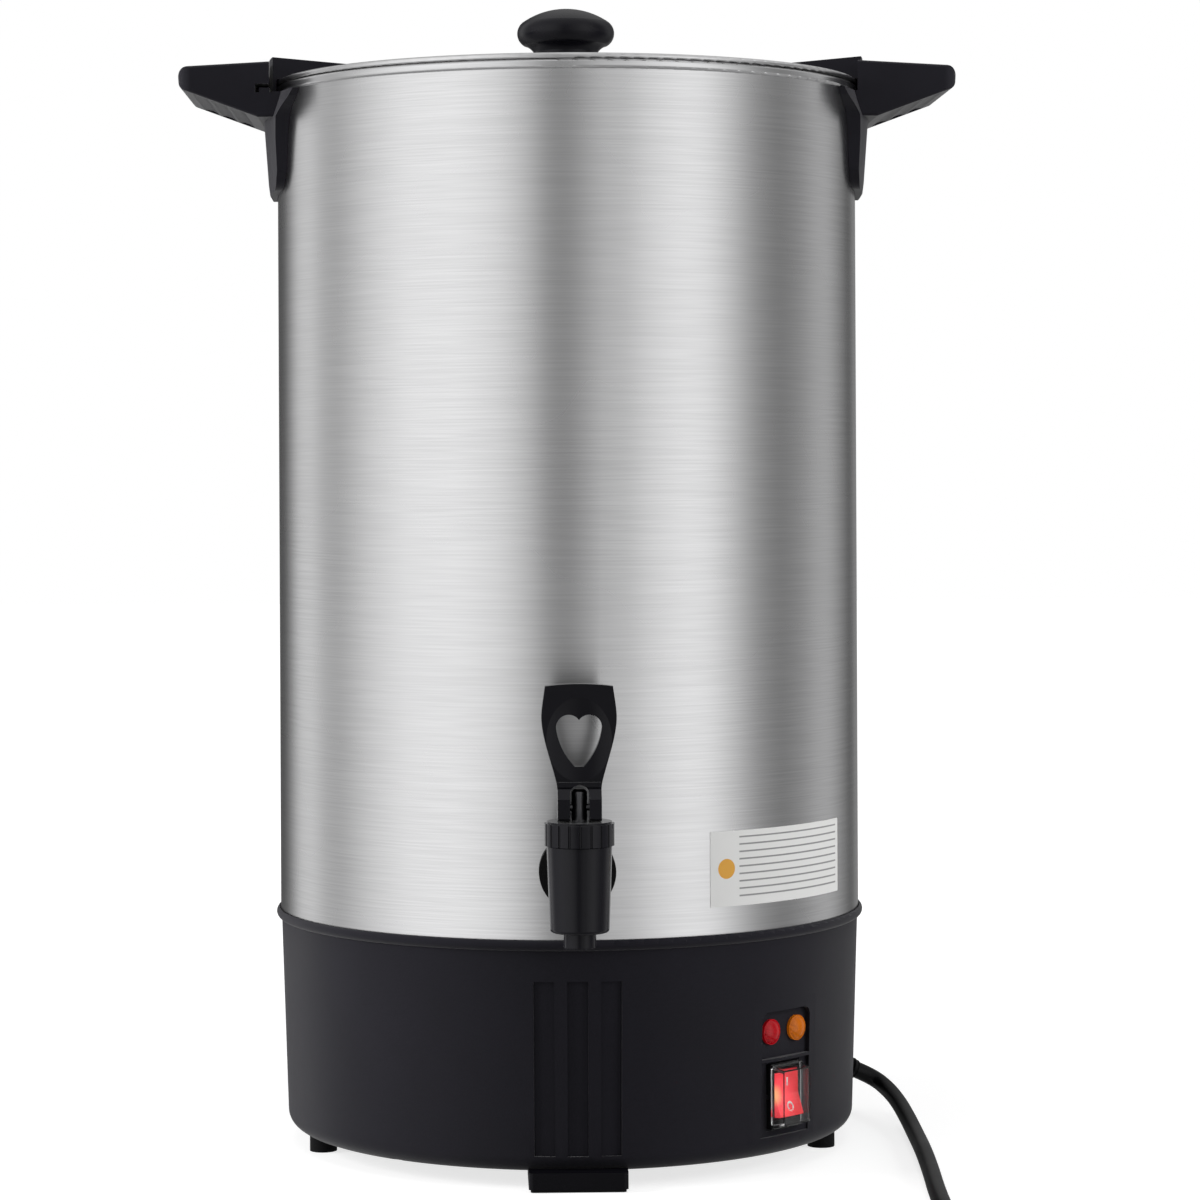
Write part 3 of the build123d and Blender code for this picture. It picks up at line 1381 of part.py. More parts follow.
with BuildPart() as tap_lever:
    with BuildSketch(Plane(origin=(0, -tap_reach, pivot_height), x_dir=(0, 1, 0), z_dir=(1, 0, 0))):
        with BuildLine():
            cam = ThreePointArc(cam_point(0), cam_point(lever_tilt / 2), cam_point(lever_tilt))
            Polyline(
                cam @ 1,
                (-fork_front, 0.45 * (fork_top - pivot_height)),
                (0.8 - paddle_lip_reach, fork_top - pivot_height),
                (-paddle_lip_reach, fork_top - pivot_height),
                (-paddle_lip_reach, fork_top - pivot_height + paddle_lip_height),
                (-paddle_thickness / 2, fork_top - pivot_height + paddle_lip_height),
                (paddle_thickness / 2, fork_top - pivot_height + 3),
                (fork_back, 0.3 * (fork_top - pivot_height)),
                (fork_back, 1.5 - foot_clear),
                (fork_back - 1.5, -foot_clear),
                cam @ 0,
            )
        make_face()
    extrude(amount=fork_width / 2, both=True)
    # Paddle
    with BuildSketch(Plane(origin=(0, -tap_reach, 0), x_dir=(1, 0, 0), z_dir=(0, -1, 0))):
        with BuildLine():
            side_line = Spline(
                (paddle_neck_width / 2, fork_top - 1),
                (paddle_neck_width / 2 + 0.6, fork_top + 3),
                (paddle_wide_width / 2 - 2.2, (fork_top + paddle_wide_height) / 2 + 2),
                (paddle_wide_width / 2, paddle_wide_height),
                (paddle_top_width / 2, paddle_top_height - paddle_top_arch),
                tangents=((0, 1), (-0.14, 1)),
            )
            Line((0, fork_top - 1), side_line @ 0)
            ThreePointArc(
                side_line @ 1,
                (paddle_top_width / 4, paddle_top_height - paddle_top_arch / 4),
                (0, paddle_top_height),
            )
            Line((0, paddle_top_height), (0, fork_top - 1))
        make_face()
        mirror(about=Plane.YZ)
    extrude(amount=paddle_thickness / 2, both=True)
    # Shallow dish in the front of the paddle, inside its border
    dish_axis = Axis(origin=(0, dish_centre, 0), direction=(0, 0, 1))
    with BuildSketch(Plane(origin=(0, dish_centre, dish_height), x_dir=(0, 1, 0), z_dir=(1, 0, 0))):
        with BuildLine():
            barrel = ThreePointArc(
                (dish_barrel - paddle_dish_depth, -dish_half_height),
                (dish_barrel, 0),
                (dish_barrel - paddle_dish_depth, dish_half_height),
            )
            Polyline(barrel @ 1, (0, dish_half_height), (0, -dish_half_height), barrel @ 0)
        make_face()
    revolve(axis=dish_axis, mode=Mode.SUBTRACT)
    # Heart-shaped finger hole
    with BuildSketch(Plane(origin=(0, -tap_reach, 0), x_dir=(1, 0, 0), z_dir=(0, -1, 0))):
        with BuildLine():
            lobe = ThreePointArc(
                (0, heart_cleft),
                (heart_width / 4 + 0.3, heart_top),
                (heart_width / 2, heart_shoulder),
            )
            flank = ThreePointArc(
                lobe @ 1,
                (0.36 * heart_width, 0.55 * heart_bottom + 0.45 * heart_shoulder),
                (heart_tip_width / 2, heart_bottom),
            )
            Line(flank @ 1, (0, heart_bottom))
            Line((0, heart_bottom), (0, heart_cleft))
        make_face()
        mirror(about=Plane.YZ)
    extrude(amount=paddle_thickness, both=True, mode=Mode.SUBTRACT)
    # Slot for the stem, and the pivot hole
    with BuildSketch(Plane(origin=(0, -tap_reach, 0), x_dir=(1, 0, 0), z_dir=(0, -1, 0))):
        with BuildLine():
            Polyline(
                (-fork_slot / 2, stem_top - fork_slot / 4),
                (-fork_slot / 2, bonnet_top),
                (fork_slot / 2, bonnet_top),
                (fork_slot / 2, stem_top - fork_slot / 4),
            )
            ThreePointArc(
                (fork_slot / 2, stem_top - fork_slot / 4),
                (0, stem_top + fork_slot / 4),
                (-fork_slot / 2, stem_top - fork_slot / 4),
            )
        make_face()
    extrude(amount=2 * fork_back, both=True, mode=Mode.SUBTRACT)
    with BuildSketch(Plane(origin=(0, -tap_reach, pivot_height), z_dir=(1, 0, 0))):
        Circle(pivot_radius + fit_gap)
    extrude(amount=fork_width, both=True, mode=Mode.SUBTRACT)
finish(tap_lever, "tap_lever")

# ---------------------------------------------------------------- switch panel
switch_pad = panel_floor - switch_pad_depth
bezel_face = switch_pad + switch_bezel_thickness
rocker_pivot = switch_pad + rocker_pin_height

with BuildPart() as switch_housing:
    with BuildSketch(radial_plane(panel_azimuth, switch_pad + fit_gap)):
        with Locations((0, switch_height)):
            RectangleRounded(switch_bezel_width, switch_bezel_height, 1.0)
    extrude(amount=switch_bezel_thickness - fit_gap)
    with BuildSketch(radial_plane(panel_azimuth, switch_pad + fit_gap)):
        with Locations((0, switch_height)):
            Rectangle(switch_body_width, switch_body_height)
    extrude(amount=-switch_body_depth)
    with BuildSketch(radial_plane(panel_azimuth, bezel_face)):
        with Locations((0, switch_height)):
            Rectangle(switch_well_width, switch_well_height)
    extrude(amount=-switch_well_depth, mode=Mode.SUBTRACT)
    with BuildSketch(radial_plane(panel_azimuth + 90, 0, switch_height)):
        with Locations((-rocker_pivot, 0)):
            Circle(rocker_pin_radius + fit_gap)
    extrude(amount=switch_body_width, both=True, mode=Mode.SUBTRACT)
finish(switch_housing, "switch_housing")

with BuildPart() as switch_pin:
    with BuildSketch(radial_plane(panel_azimuth + 90, 0, switch_height)):
        with Locations((-rocker_pivot, 0)):
            Circle(rocker_pin_radius)
    extrude(amount=switch_body_width / 2 - fit_gap, both=True)
finish(switch_pin, "switch_pin")


def rocked(rise, climb):
    """Point of the rocker's side view, tipped about its pin so that the upper half is in."""
    tilt = radians(rocker_tilt)
    return (
        rocker_pivot + rise * cos(tilt) - climb * sin(tilt),
        switch_height + climb * cos(tilt) + rise * sin(tilt),
    )


with BuildPart() as switch_rocker:
    with BuildSketch(section_plane(panel_azimuth)):
        with BuildLine():
            FilletPolyline(
                rocked(rocker_middle_rise, 0),
                rocked(rocker_end_rise, rocker_height / 2),
                rocked(-rocker_skirt_depth, rocker_height / 2 - rocker_skirt_step),
                rocked(-rocker_belly_depth, rocker_belly_reach),
                rocked(-rocker_belly_depth, -rocker_belly_reach),
                rocked(-rocker_skirt_depth, rocker_skirt_step - rocker_height / 2),
                rocked(rocker_end_rise, -rocker_height / 2),
                radius=(6.0, 0.5, 1.0, 1.0, 1.0, 1.0, 0.5),
                close=True,
            )
        make_face()
        with Locations((rocker_pivot, switch_height)):
            Circle(rocker_pin_radius + fit_gap, mode=Mode.SUBTRACT)
    extrude(amount=rocker_width / 2, both=True)
finish(switch_rocker, "switch_rocker")

with BuildPart() as switch_terminals:
    with BuildSketch(radial_plane(panel_azimuth, switch_pad + fit_gap - switch_body_depth - fit_gap)):
        for step in (-1, 0, 1):
            with Locations((0, switch_height + step * terminal_pitch)):
                Rectangle(terminal_width, terminal_thickness)
    extrude(amount=-terminal_length)
finish(switch_terminals, "switch_terminals")

with BuildPart() as switch_cover:
    # Clear splash cover over the rocker, a hollow box that narrows to the front
    with BuildSketch(radial_plane(panel_azimuth, bezel_face + fit_gap)):
        with Locations((0, switch_height)):
            RectangleRounded(
                cover_base_width + 2 * cover_brim, cover_base_height + 2 * cover_brim, cover_corner)
    extrude(amount=cover_wall)
    for inset, mode in ((0, Mode.ADD), (cover_wall, Mode.SUBTRACT)):
        with BuildSketch(radial_plane(panel_azimuth, bezel_face + fit_gap)):
            with Locations((0, switch_height)):
                RectangleRounded(
                    cover_base_width - 2 * inset, cover_base_height - 2 * inset, cover_corner)
        with BuildSketch(radial_plane(panel_azimuth, bezel_face + cover_depth - inset)):
            with Locations((0, switch_height)):
                RectangleRounded(
                    cover_front_width - 2 * inset, cover_front_height - 2 * inset, cover_corner)
        loft(mode=mode)
finish(switch_cover, "switch_cover")


def pilot_lens(side):
    """Low domed lens of a pilot lamp, left (-1) or right (+1) on the panel."""
    panel = radial_plane(panel_azimuth, panel_floor, pilot_height)
    centre = panel.from_local_coords((side * pilot_spacing / 2, 0, 0))
    crown = pilot_flange + pilot_dome
    dome_radius = pilot_radius - pilot_flange_step
    dome_sphere = (dome_radius ** 2 + pilot_dome ** 2) / (2 * pilot_dome)
    sphere_middle = crown - dome_sphere
    with BuildPart() as lens:
        # Side view: x runs out of the panel, y is the radius of the lens.
        with BuildSketch(Plane(origin=centre, x_dir=panel.z_dir, z_dir=panel.x_dir)):
            with BuildLine():
                dome = CenterArc(
                    (sphere_middle, 0), dome_sphere, 0, degrees(acos(1 - pilot_dome / dome_sphere)))
                Polyline(
                    dome @ 1,
                    (pilot_flange, pilot_radius),
                    (fit_gap, pilot_radius),
                    (fit_gap, pilot_neck_radius),
                    (panel_back - panel_floor - fit_gap, pilot_neck_radius),
                    (panel_back - panel_floor - fit_gap, 0),
                    dome @ 0,
                )
            make_face()
        revolve(axis=Axis(origin=centre, direction=panel.z_dir))
    return lens


pilot_lens_red = pilot_lens(-1)
finish(pilot_lens_red, "pilot_lens_red")
pilot_lens_amber = pilot_lens(1)
finish(pilot_lens_amber, "pilot_lens_amber")

with BuildPart() as pilot_bodies:
    with BuildSketch(radial_plane(panel_azimuth, panel_back - 2 * fit_gap)):
        with Locations((-pilot_spacing / 2, pilot_height), (pilot_spacing / 2, pilot_height)):
            Circle(pilot_body_radius)
    extrude(amount=-pilot_body_length)
finish(pilot_bodies, "pilot_bodies")

# ---------------------------------------------------------------- cord and strain relief
outward = Vector(gland_direction).normalized()
cord_exit = gland_seat + outward * gland_outer_length
gland_start = gland_seat - outward * gland_inner_length
gland_side = Vector(0, 0, 1).cross(outward).normalized()

with BuildPart() as cord_gland:
    # Side view: x runs out along the cord from the housing's outside, y is the radius.
    with BuildSketch(Plane(origin=gland_seat, x_dir=outward, z_dir=gland_side)):
        with BuildLine():
            Polyline(
                (-gland_neck_radius, 0),
                (-gland_neck_radius, gland_collar_radius),
                (gland_collar_length, gland_collar_radius - 0.6),
                (gland_collar_length, gland_neck_radius + 0.4),
                (gland_outer_length, gland_tip_radius),
                (gland_outer_length, 0),
                close=True,
            )
        make_face()
    revolve(axis=Axis(origin=gland_seat, direction=outward))
    add(housing_envelope.part, mode=Mode.SUBTRACT)
    with BuildSketch(Plane(origin=gland_seat, x_dir=outward, z_dir=gland_side)):
        with BuildLine():
            Polyline(
                (-gland_inner_length, 0),
                (-gland_inner_length, gland_inner_collar_radius),
                (-gland_inner_collar_start, gland_inner_collar_radius),
                (-gland_inner_collar_start, gland_neck_radius),
                (gland_collar_length, gland_neck_radius),
                (gland_collar_length, 0),
                close=True,
            )
        make_face()
    revolve(axis=Axis(origin=gland_seat, direction=outward))
finish(cord_gland, "cord_gland")

route = [cord_exit, cord_exit + outward * cord_lead_out] + [Vector(*point) for point in cord_route]
runs = [after - before for before, after in zip(route, route[1:])]
bend_radii = []
for before, after in zip(runs, runs[1:]):
    half_turn = radians(before.get_angle(after)) / 2
    bend_radii.append(0.45 * min(before.length, after.length) / tan(half_turn))
print("cord bend radii, mm:", [round(radius) for radius in bend_radii])

with BuildPart() as power_cord:
    with BuildLine():
        cord_line = FilletPolyline(*route, radius=bend_radii)
    with BuildSketch(Plane(origin=route[0], z_dir=runs[0])):
        Circle(cord_radius)
    sweep(path=cord_line)
finish(power_cord, "power_cord")
print("cord tube length and volume share:", round(cord_line.length, 1),
      round(power_cord.part.volume / (pi * cord_radius ** 2 * cord_line.length), 4))

# Three turns of cord lie side by side on the table; the last one climbs over them and leaves.
coil_x, coil_y = coil_centre
coil_axis = Axis(origin=(coil_x, coil_y, 0), direction=(0, 0, 1))
coil_outer_turn = coil_turns[0]
coil_inner_turn = coil_turns[-1]
tail_y = coil_y - coil_upper_turn
with BuildPart() as cord_coil:
    with BuildSketch(Plane(origin=(coil_x, coil_y, 0), x_dir=(1, 0, 0), z_dir=(0, -1, 0))):
        with Locations(*[(turn, cord_radius) for turn in coil_turns]):
            Circle(cord_radius)
        with Locations(((coil_outer_turn + coil_inner_turn) / 2, cord_radius)):
            Rectangle(coil_outer_turn - coil_inner_turn, cord_radius)
    revolve(axis=coil_axis)
    with BuildSketch(Plane(origin=(coil_x, coil_y, 0), x_dir=(0, -1, 0), z_dir=(-1, 0, 0))):
        with Locations((coil_upper_turn, coil_upper_height)):
            Circle(cord_radius)
    revolve(axis=coil_axis, revolution_arc=coil_upper_sweep)
    # Ends of the cord where it reaches the coil and where it leaves for the plug
    entry = (coil_x + coil_outer_turn, coil_y + coil_end_start, cord_radius)
    with BuildSketch(Plane(origin=entry, z_dir=(0, 1, 0))):
        Circle(cord_radius)
    extrude(amount=route[-1].Y - entry[1])
    with BuildSketch(Plane(origin=(coil_x, tail_y, coil_upper_height), z_dir=(-1, 0, 0))):
        Circle(cord_radius)
    extrude(amount=coil_tail_length)
finish(cord_coil, "cord_coil")

plug_start = coil_x - coil_tail_length
plug_front = plug_start - plug_relief_length - plug_length


def plug_plane(x):
    """Upright plane across the plug; its x runs to -Y and its y upwards."""
    return Plane(origin=(x, tail_y, coil_upper_height), x_dir=(0, -1, 0), z_dir=(-1, 0, 0))


with BuildPart() as plug_body:
    with BuildSketch(plug_plane(plug_start)):
        Circle(plug_relief_tip_radius)
    with BuildSketch(plug_plane(plug_start - plug_relief_length)):
        Circle(plug_relief_root_radius)
    loft()
    with BuildSketch(plug_plane(plug_start - plug_relief_length)):
        RectangleRounded(plug_back_width, plug_back_thickness, plug_corner)
    with BuildSketch(plug_plane(plug_front)):
        RectangleRounded(plug_width, plug_thickness, plug_corner)
    loft()
finish(plug_body, "plug_body")

with BuildPart() as plug_blades:
    with BuildSketch(plug_plane(plug_front)):
        with Locations((-blade_spacing / 2, -blade_drop), (blade_spacing / 2, -blade_drop)):
            Rectangle(blade_thickness, blade_width)
    extrude(amount=blade_length)
    with BuildSketch(plug_plane(plug_front)):
        with Locations((0, ground_pin_drop)):
            Circle(ground_pin_radius)
    extrude(amount=ground_pin_length)
finish(plug_blades, "plug_blades")

# ---------------------------------------------------------------- wiring inside the base
block_x, block_y = terminal_block_place
block_length, block_width, block_height = terminal_block_size
plate_top = flange_top + plate_sheet
with BuildPart() as terminal_block:
    with BuildSketch(Plane.XY.offset(plate_top + fit_gap)):
        with Locations((block_x, block_y)):
            Rectangle(block_length, block_width)
    extrude(amount=block_height)
    with BuildSketch(Plane.XY.offset(plate_top + block_height)):
        with GridLocations(block_length / 3, block_width / 2, 3, 2):
            with Locations((block_x, block_y)):
                Circle(terminal_block_screw_radius)
    extrude(amount=-terminal_block_screw_depth, mode=Mode.SUBTRACT)
finish(terminal_block, "terminal_block")


def lead(*points):
    """One insulated wire along straight runs with rounded corners."""
    with BuildPart() as wire:
        with BuildLine():
            wire_line = FilletPolyline(*points, radius=lead_bend)
        with BuildSketch(Plane(origin=points[0], z_dir=Vector(*points[1]) - Vector(*points[0]))):
            Circle(lead_radius)
        sweep(path=wire_line)
    return wire.part


block_mid = plate_top + block_height / 2
with BuildPart() as supply_leads:
    for step in (-1, 0, 1):
        aside = gland_side * (step * lead_spacing)
        landing = block_y + step * lead_pitch
        add(lead(
            gland_start - outward * fit_gap + aside,
            gland_start - outward * lead_run + aside,
            Vector(block_x + block_length / 2 + lead_run, landing, block_mid),
            Vector(block_x + block_length / 2 + fit_gap, landing, block_mid),
        ))
finish(supply_leads, "supply_leads")

terminal_end = switch_pad - switch_body_depth - terminal_length - fit_gap
with BuildPart() as switch_leads:
    for step in (-1, 0, 1):
        start_x = block_x + step * lead_pitch
        switch_end_x, switch_end_y = polar_point(panel_azimuth, terminal_end)
        switch_turn_x, switch_turn_y = polar_point(panel_azimuth, terminal_end - lead_run)
        end_height = switch_height + step * terminal_pitch
        add(lead(
            Vector(start_x, block_y - block_width / 2 - fit_gap, block_mid),
            Vector(start_x, block_y - block_width / 2 - lead_run, block_mid),
            Vector(switch_turn_x, switch_turn_y, end_height),
            Vector(switch_end_x, switch_end_y, end_height),
        ))
finish(switch_leads, "switch_leads")
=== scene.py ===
from math import atan2, cos, pi, radians, sin

import bmesh
import bpy
from bpy.props import FloatProperty, FloatVectorProperty, IntProperty, PointerProperty
from mathutils import Matrix, Vector


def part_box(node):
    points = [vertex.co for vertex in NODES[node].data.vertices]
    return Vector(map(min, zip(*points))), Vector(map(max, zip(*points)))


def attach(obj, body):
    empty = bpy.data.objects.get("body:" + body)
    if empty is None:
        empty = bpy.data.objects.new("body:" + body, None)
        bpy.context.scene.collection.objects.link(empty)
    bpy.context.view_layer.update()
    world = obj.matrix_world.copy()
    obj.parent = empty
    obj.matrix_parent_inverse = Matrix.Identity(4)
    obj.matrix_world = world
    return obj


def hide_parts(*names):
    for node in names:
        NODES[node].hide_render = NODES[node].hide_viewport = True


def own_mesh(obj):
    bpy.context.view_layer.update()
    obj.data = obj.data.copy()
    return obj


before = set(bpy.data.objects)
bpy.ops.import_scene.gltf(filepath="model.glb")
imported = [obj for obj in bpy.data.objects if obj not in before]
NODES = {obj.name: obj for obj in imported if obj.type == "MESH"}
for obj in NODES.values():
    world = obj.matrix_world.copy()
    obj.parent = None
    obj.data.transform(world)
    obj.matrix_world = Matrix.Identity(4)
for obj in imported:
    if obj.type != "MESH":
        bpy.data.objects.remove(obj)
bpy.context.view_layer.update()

bl_info = {
    "name": "Coffee Urn",
    "version": (1, 0, 0),
    "blender": (4, 5, 0),
    "location": "View3D > Sidebar > Coffee Urn",
    "description": "Dresses the coffee urn's solids with shaped pieces and finishes",
    "category": "Object",
}

MM = 0.001

# Places that the pieces share, in millimetres, with the origin on the table under the pot's axis
POT_RADIUS = 130.0
CORD_MIDDLE = 3.8
PLUG_MIDDLE = 10.6
GLAND_SEAT = Vector((122.0, 38.5, 25.5))
GLAND_DIRECTION = Vector((0.862, 0.307, -0.402)).normalized()
GLAND_LENGTH = 13.0

# The switch: its direction, its pad's distance from the axis and its height, the rocker's pivot in front of
# the pad and its tilt. The rocker's two facets rise by ROCKER_RISE over ROCKER_REACH from ROCKER_MIDDLE.
PANEL_AZIMUTH = radians(-45.0)
SWITCH_PAD = 124.9
SWITCH_HEIGHT = 32.4
ROCKER_PIVOT = 0.6
ROCKER_TILT = radians(10.0)
ROCKER_MIDDLE = 1.9
ROCKER_RISE = 1.6
ROCKER_REACH = 9.5
# The lamp behind the rocker: in front of the pad, above the pivot and left of the middle
ROCKER_LAMP = (2.5, 0.6, 7.2)

# Most values of a noise texture lie between these
NOISE_LOW = 0.3
NOISE_HIGH = 0.7


# ------------------------------------------------------------------ sizes and colours
class UrnSteel(bpy.types.PropertyGroup):
    """Finish of the brushed steel"""
    colour: FloatVectorProperty(
        name="Steel colour", description="Colour of the pot, rim and lid",
        subtype="COLOR", size=4, min=0, max=1, default=(0.62, 0.62, 0.625, 1))
    roughness: FloatProperty(
        name="Roughness", description="How blurred the steel's reflections are",
        default=0.27, min=0, max=1)
    brush_pitch: FloatProperty(
        name="Brushing pitch", description="Distance between brushing lines",
        subtype="DISTANCE", unit="LENGTH", default=0.0005, min=0.0001, max=0.01)
    brush_depth: FloatProperty(
        name="Brushing depth", description="Strength of the brushing's relief", default=0.10, min=0, max=1)


class UrnPlastic(bpy.types.PropertyGroup):
    """Finish of the housing and the handles"""
    colour: FloatVectorProperty(
        name="Plastic colour", description="Colour of the housing and the handles",
        subtype="COLOR", size=4, min=0, max=1, default=(0.0102, 0.0096, 0.0140, 1))
    roughness: FloatProperty(
        name="Roughness", description="How blurred the plastic's reflections are",
        default=0.42, min=0, max=1)
    grain_size: FloatProperty(
        name="Grain size", description="Size of the moulded grain",
        subtype="DISTANCE", unit="LENGTH", default=0.0005, min=0.0001, max=0.01)
    grain_depth: FloatProperty(
        name="Grain depth", description="Strength of the moulded grain", default=0.12, min=0, max=1)


class UrnLamps(bpy.types.PropertyGroup):
    """Colours of the pilot lenses and the rocker"""
    red: FloatVectorProperty(
        name="Red lens", description="Colour of the red pilot lens",
        subtype="COLOR", size=4, min=0, max=1, default=(0.30, 0.002, 0.006, 1))
    amber: FloatVectorProperty(
        name="Amber lens", description="Colour of the amber pilot lens",
        subtype="COLOR", size=4, min=0, max=1, default=(0.42, 0.10, 0.001, 1))
    rocker: FloatVectorProperty(
        name="Rocker", description="Colour of the lit rocker",
        subtype="COLOR", size=4, min=0, max=1, default=(0.70, 0.014, 0.022, 1))
    glow: FloatProperty(
        name="Rocker glow", description="Strength of the lamp inside the rocker", default=0.8, min=0, max=5)


class UrnCord(bpy.types.PropertyGroup):
    """Sizes of the cord and the plug's relief"""
    diameter: FloatProperty(
        name="Cord diameter", description="Outside diameter of the mains cord",
        subtype="DISTANCE", unit="LENGTH", default=0.0076, min=0.003, max=0.02)
    relief_ribs: IntProperty(
        name="Relief ribs", description="Ribs on the plug's strain relief", default=5, min=0, max=12)


class UrnLabel(bpy.types.PropertyGroup):
    """Size and place of the bare sticker"""
    width: FloatProperty(
        name="Label width", description="Width of the bare sticker along the pot",
        subtype="DISTANCE", unit="LENGTH", default=0.0836, min=0.01, max=0.2)
    height: FloatProperty(
        name="Label height", description="Height of the bare sticker",
        subtype="DISTANCE", unit="LENGTH", default=0.0317, min=0.01, max=0.1)
    azimuth: FloatProperty(
        name="Label azimuth", description="Direction of the sticker's middle from the pot's axis",
        subtype="ANGLE", unit="ROTATION", default=radians(-46.0))
    middle: FloatProperty(
        name="Label height on the pot", description="Height of the sticker's middle above the table",
        subtype="DISTANCE", unit="LENGTH", default=0.1317, min=0.11, max=0.4)


class UrnStudio(bpy.types.PropertyGroup):
    """Softboxes and the room's light"""
    key: FloatProperty(
        name="Left softbox", description="Power of the large softbox on the left",
        subtype="POWER", unit="POWER", default=28.0, min=0, max=200)
    fill: FloatProperty(
        name="Right softbox", description="Power of the softbox on the right",
        subtype="POWER", unit="POWER", default=16.0, min=0, max=200)
    top: FloatProperty(
        name="Top softbox", description="Power of the overhead softbox",
        subtype="POWER", unit="POWER", default=10.0, min=0, max=200)
    room: FloatProperty(
        name="Room light", description="Brightness of the room for matt surfaces",
        default=0.24, min=0, max=4)
    ceiling: FloatProperty(
        name="Ceiling", description="Brightness of the ceiling as shiny surfaces mirror it",
        default=0.8, min=0, max=4)
    mirrored_floor: FloatProperty(
        name="Mirrored floor", description="Brightness of the floor as shiny surfaces mirror it",
        default=0.42, min=0, max=4)


class UrnSettings(bpy.types.PropertyGroup):
    """Everything that a user would change"""
    steel: PointerProperty(type=UrnSteel, name="Steel", description="Finish of the steel")
    plastic: PointerProperty(type=UrnPlastic, name="Plastic", description="Finish of the black plastic")
    lamps: PointerProperty(type=UrnLamps, name="Lamps", description="Colours of the lit pieces")
    cord: PointerProperty(type=UrnCord, name="Cord", description="Sizes of the cord's pieces")
    label: PointerProperty(type=UrnLabel, name="Label", description="Place and size of the bare sticker")
    studio: PointerProperty(type=UrnStudio, name="Studio", description="Light on the urn")


# ------------------------------------------------------------------ shader effects
def effect_group(name, inputs, outputs):
    """An empty shader node group of plain values; inputs are (label, default) pairs."""
    group = bpy.data.node_groups.new(name, "ShaderNodeTree")
    for label, default in inputs:
        socket = group.interface.new_socket(name=label, in_out="INPUT", socket_type="NodeSocketFloat")
        socket.default_value = default
    for label in outputs:
        group.interface.new_socket(name=label, in_out="OUTPUT", socket_type="NodeSocketFloat")
    return group, group.nodes.new("NodeGroupInput"), group.nodes.new("NodeGroupOutput")


def joined(tree, kind, links=(), **properties):
    """A new node with its properties set; links are (socket, source) pairs of a socket or a plain value."""
    node = tree.nodes.new(kind)
    for key, value in properties.items():
        setattr(node, key, value)
    for socket, source in links:
        if hasattr(source, "links"):
            tree.links.new(source, node.inputs[socket])
        else:
            node.inputs[socket].default_value = source
    return node


def worked(tree, operation, first, second):
    """The result of a maths node for two sockets or values."""
    return joined(tree, "ShaderNodeMath", [(0, first), (1, second)], operation=operation).outputs[0]


def grain_effect():
    """Fine moulded grain with slow patches of shine: Height and Patch."""
    group, inside, outside = effect_group(
        "Moulded grain", [("Size", 0.0005), ("Patch size", 0.06)], ["Height", "Patch"])
    place = joined(group, "ShaderNodeTexCoord").outputs["Object"]
    for label, detail, target in (("Size", 2.0, "Height"), ("Patch size", 3.0, "Patch")):
        scale = worked(group, "DIVIDE", 1.0, inside.outputs[label])
        noise = joined(group, "ShaderNodeTexNoise",
                       [("Vector", place), ("Scale", scale), ("Detail", detail)])
        group.links.new(noise.outputs["Fac"], outside.inputs[target])
    return group


def brushing_effect():
    """Brushing lines round the urn's axis: Height of the lines, Tone of wider streaks, and Patch."""
    group, inside, outside = effect_group(
        "Brushing", [("Pitch", 0.0006), ("Line length", 0.05)], ["Height", "Tone", "Patch"])
    place = joined(group, "ShaderNodeTexCoord").outputs["Object"]
    parts = joined(group, "ShaderNodeSeparateXYZ", [("Vector", place)])
    for target, stretch, detail in (("Height", 1.0, 2.0), ("Tone", 1.3, 1.0)):
        length = inside.outputs["Line length"]
        pitch = worked(group, "MULTIPLY", inside.outputs["Pitch"], stretch)
        levels = [(axis, worked(group, "DIVIDE", parts.outputs[axis], span))
                  for axis, span in (("X", length), ("Y", length), ("Z", pitch))]
        line_place = joined(group, "ShaderNodeCombineXYZ", levels).outputs[0]
        lines = joined(group, "ShaderNodeTexNoise",
                       [("Vector", line_place), ("Scale", 1.0), ("Detail", detail)])
        group.links.new(lines.outputs["Fac"], outside.inputs[target])
    patch = joined(group, "ShaderNodeTexNoise", [("Vector", place), ("Scale", 9.0), ("Detail", 3.0)])
    group.links.new(patch.outputs["Fac"], outside.inputs["Patch"])
    return group


def spread(tree, source, low, high):
    """Maps a noise value to a range of values."""
    return joined(tree, "ShaderNodeMapRange",
                  [("Value", source), ("From Min", NOISE_LOW), ("From Max", NOISE_HIGH),
                   ("To Min", low), ("To Max", high)]).outputs["Result"]


def ramp(tree, source, low, high):
    """Runs from 0 to 1 as the source value runs from low to high."""
    return joined(tree, "ShaderNodeMapRange",
                  [("Value", source), ("From Min", low), ("From Max", high)]).outputs["Result"]


def mixed(tree, share, first, second):
    """The first colour at a share of 0 and the second at 1; colours are values or sockets."""
    mix = joined(tree, "ShaderNodeMix", data_type="RGBA")
    for socket, source in (("Factor", share), ("A", first), ("B", second)):
        if hasattr(source, "links"):
            tree.links.new(source, mix.inputs[socket])
        else:
            mix.inputs[socket].default_value = source
    return mix.outputs["Result"]


def shaded(tree, source, colour, share):
    """A colour that gets darker and lighter by a share as the source value changes."""
    dark = [channel * (1 - share) for channel in colour[:3]] + [1]
    light = [min(1.0, channel * (1 + share)) for channel in colour[:3]] + [1]
    return mixed(tree, spread(tree, source, 0.0, 1.0), dark, light)


def bare_material(name):
    """A material with a Principled shader: (material, tree, shader)."""
    material = bpy.data.materials.new(name)
    material.use_nodes = True
    tree = material.node_tree
    return material, tree, tree.nodes["Principled BSDF"]


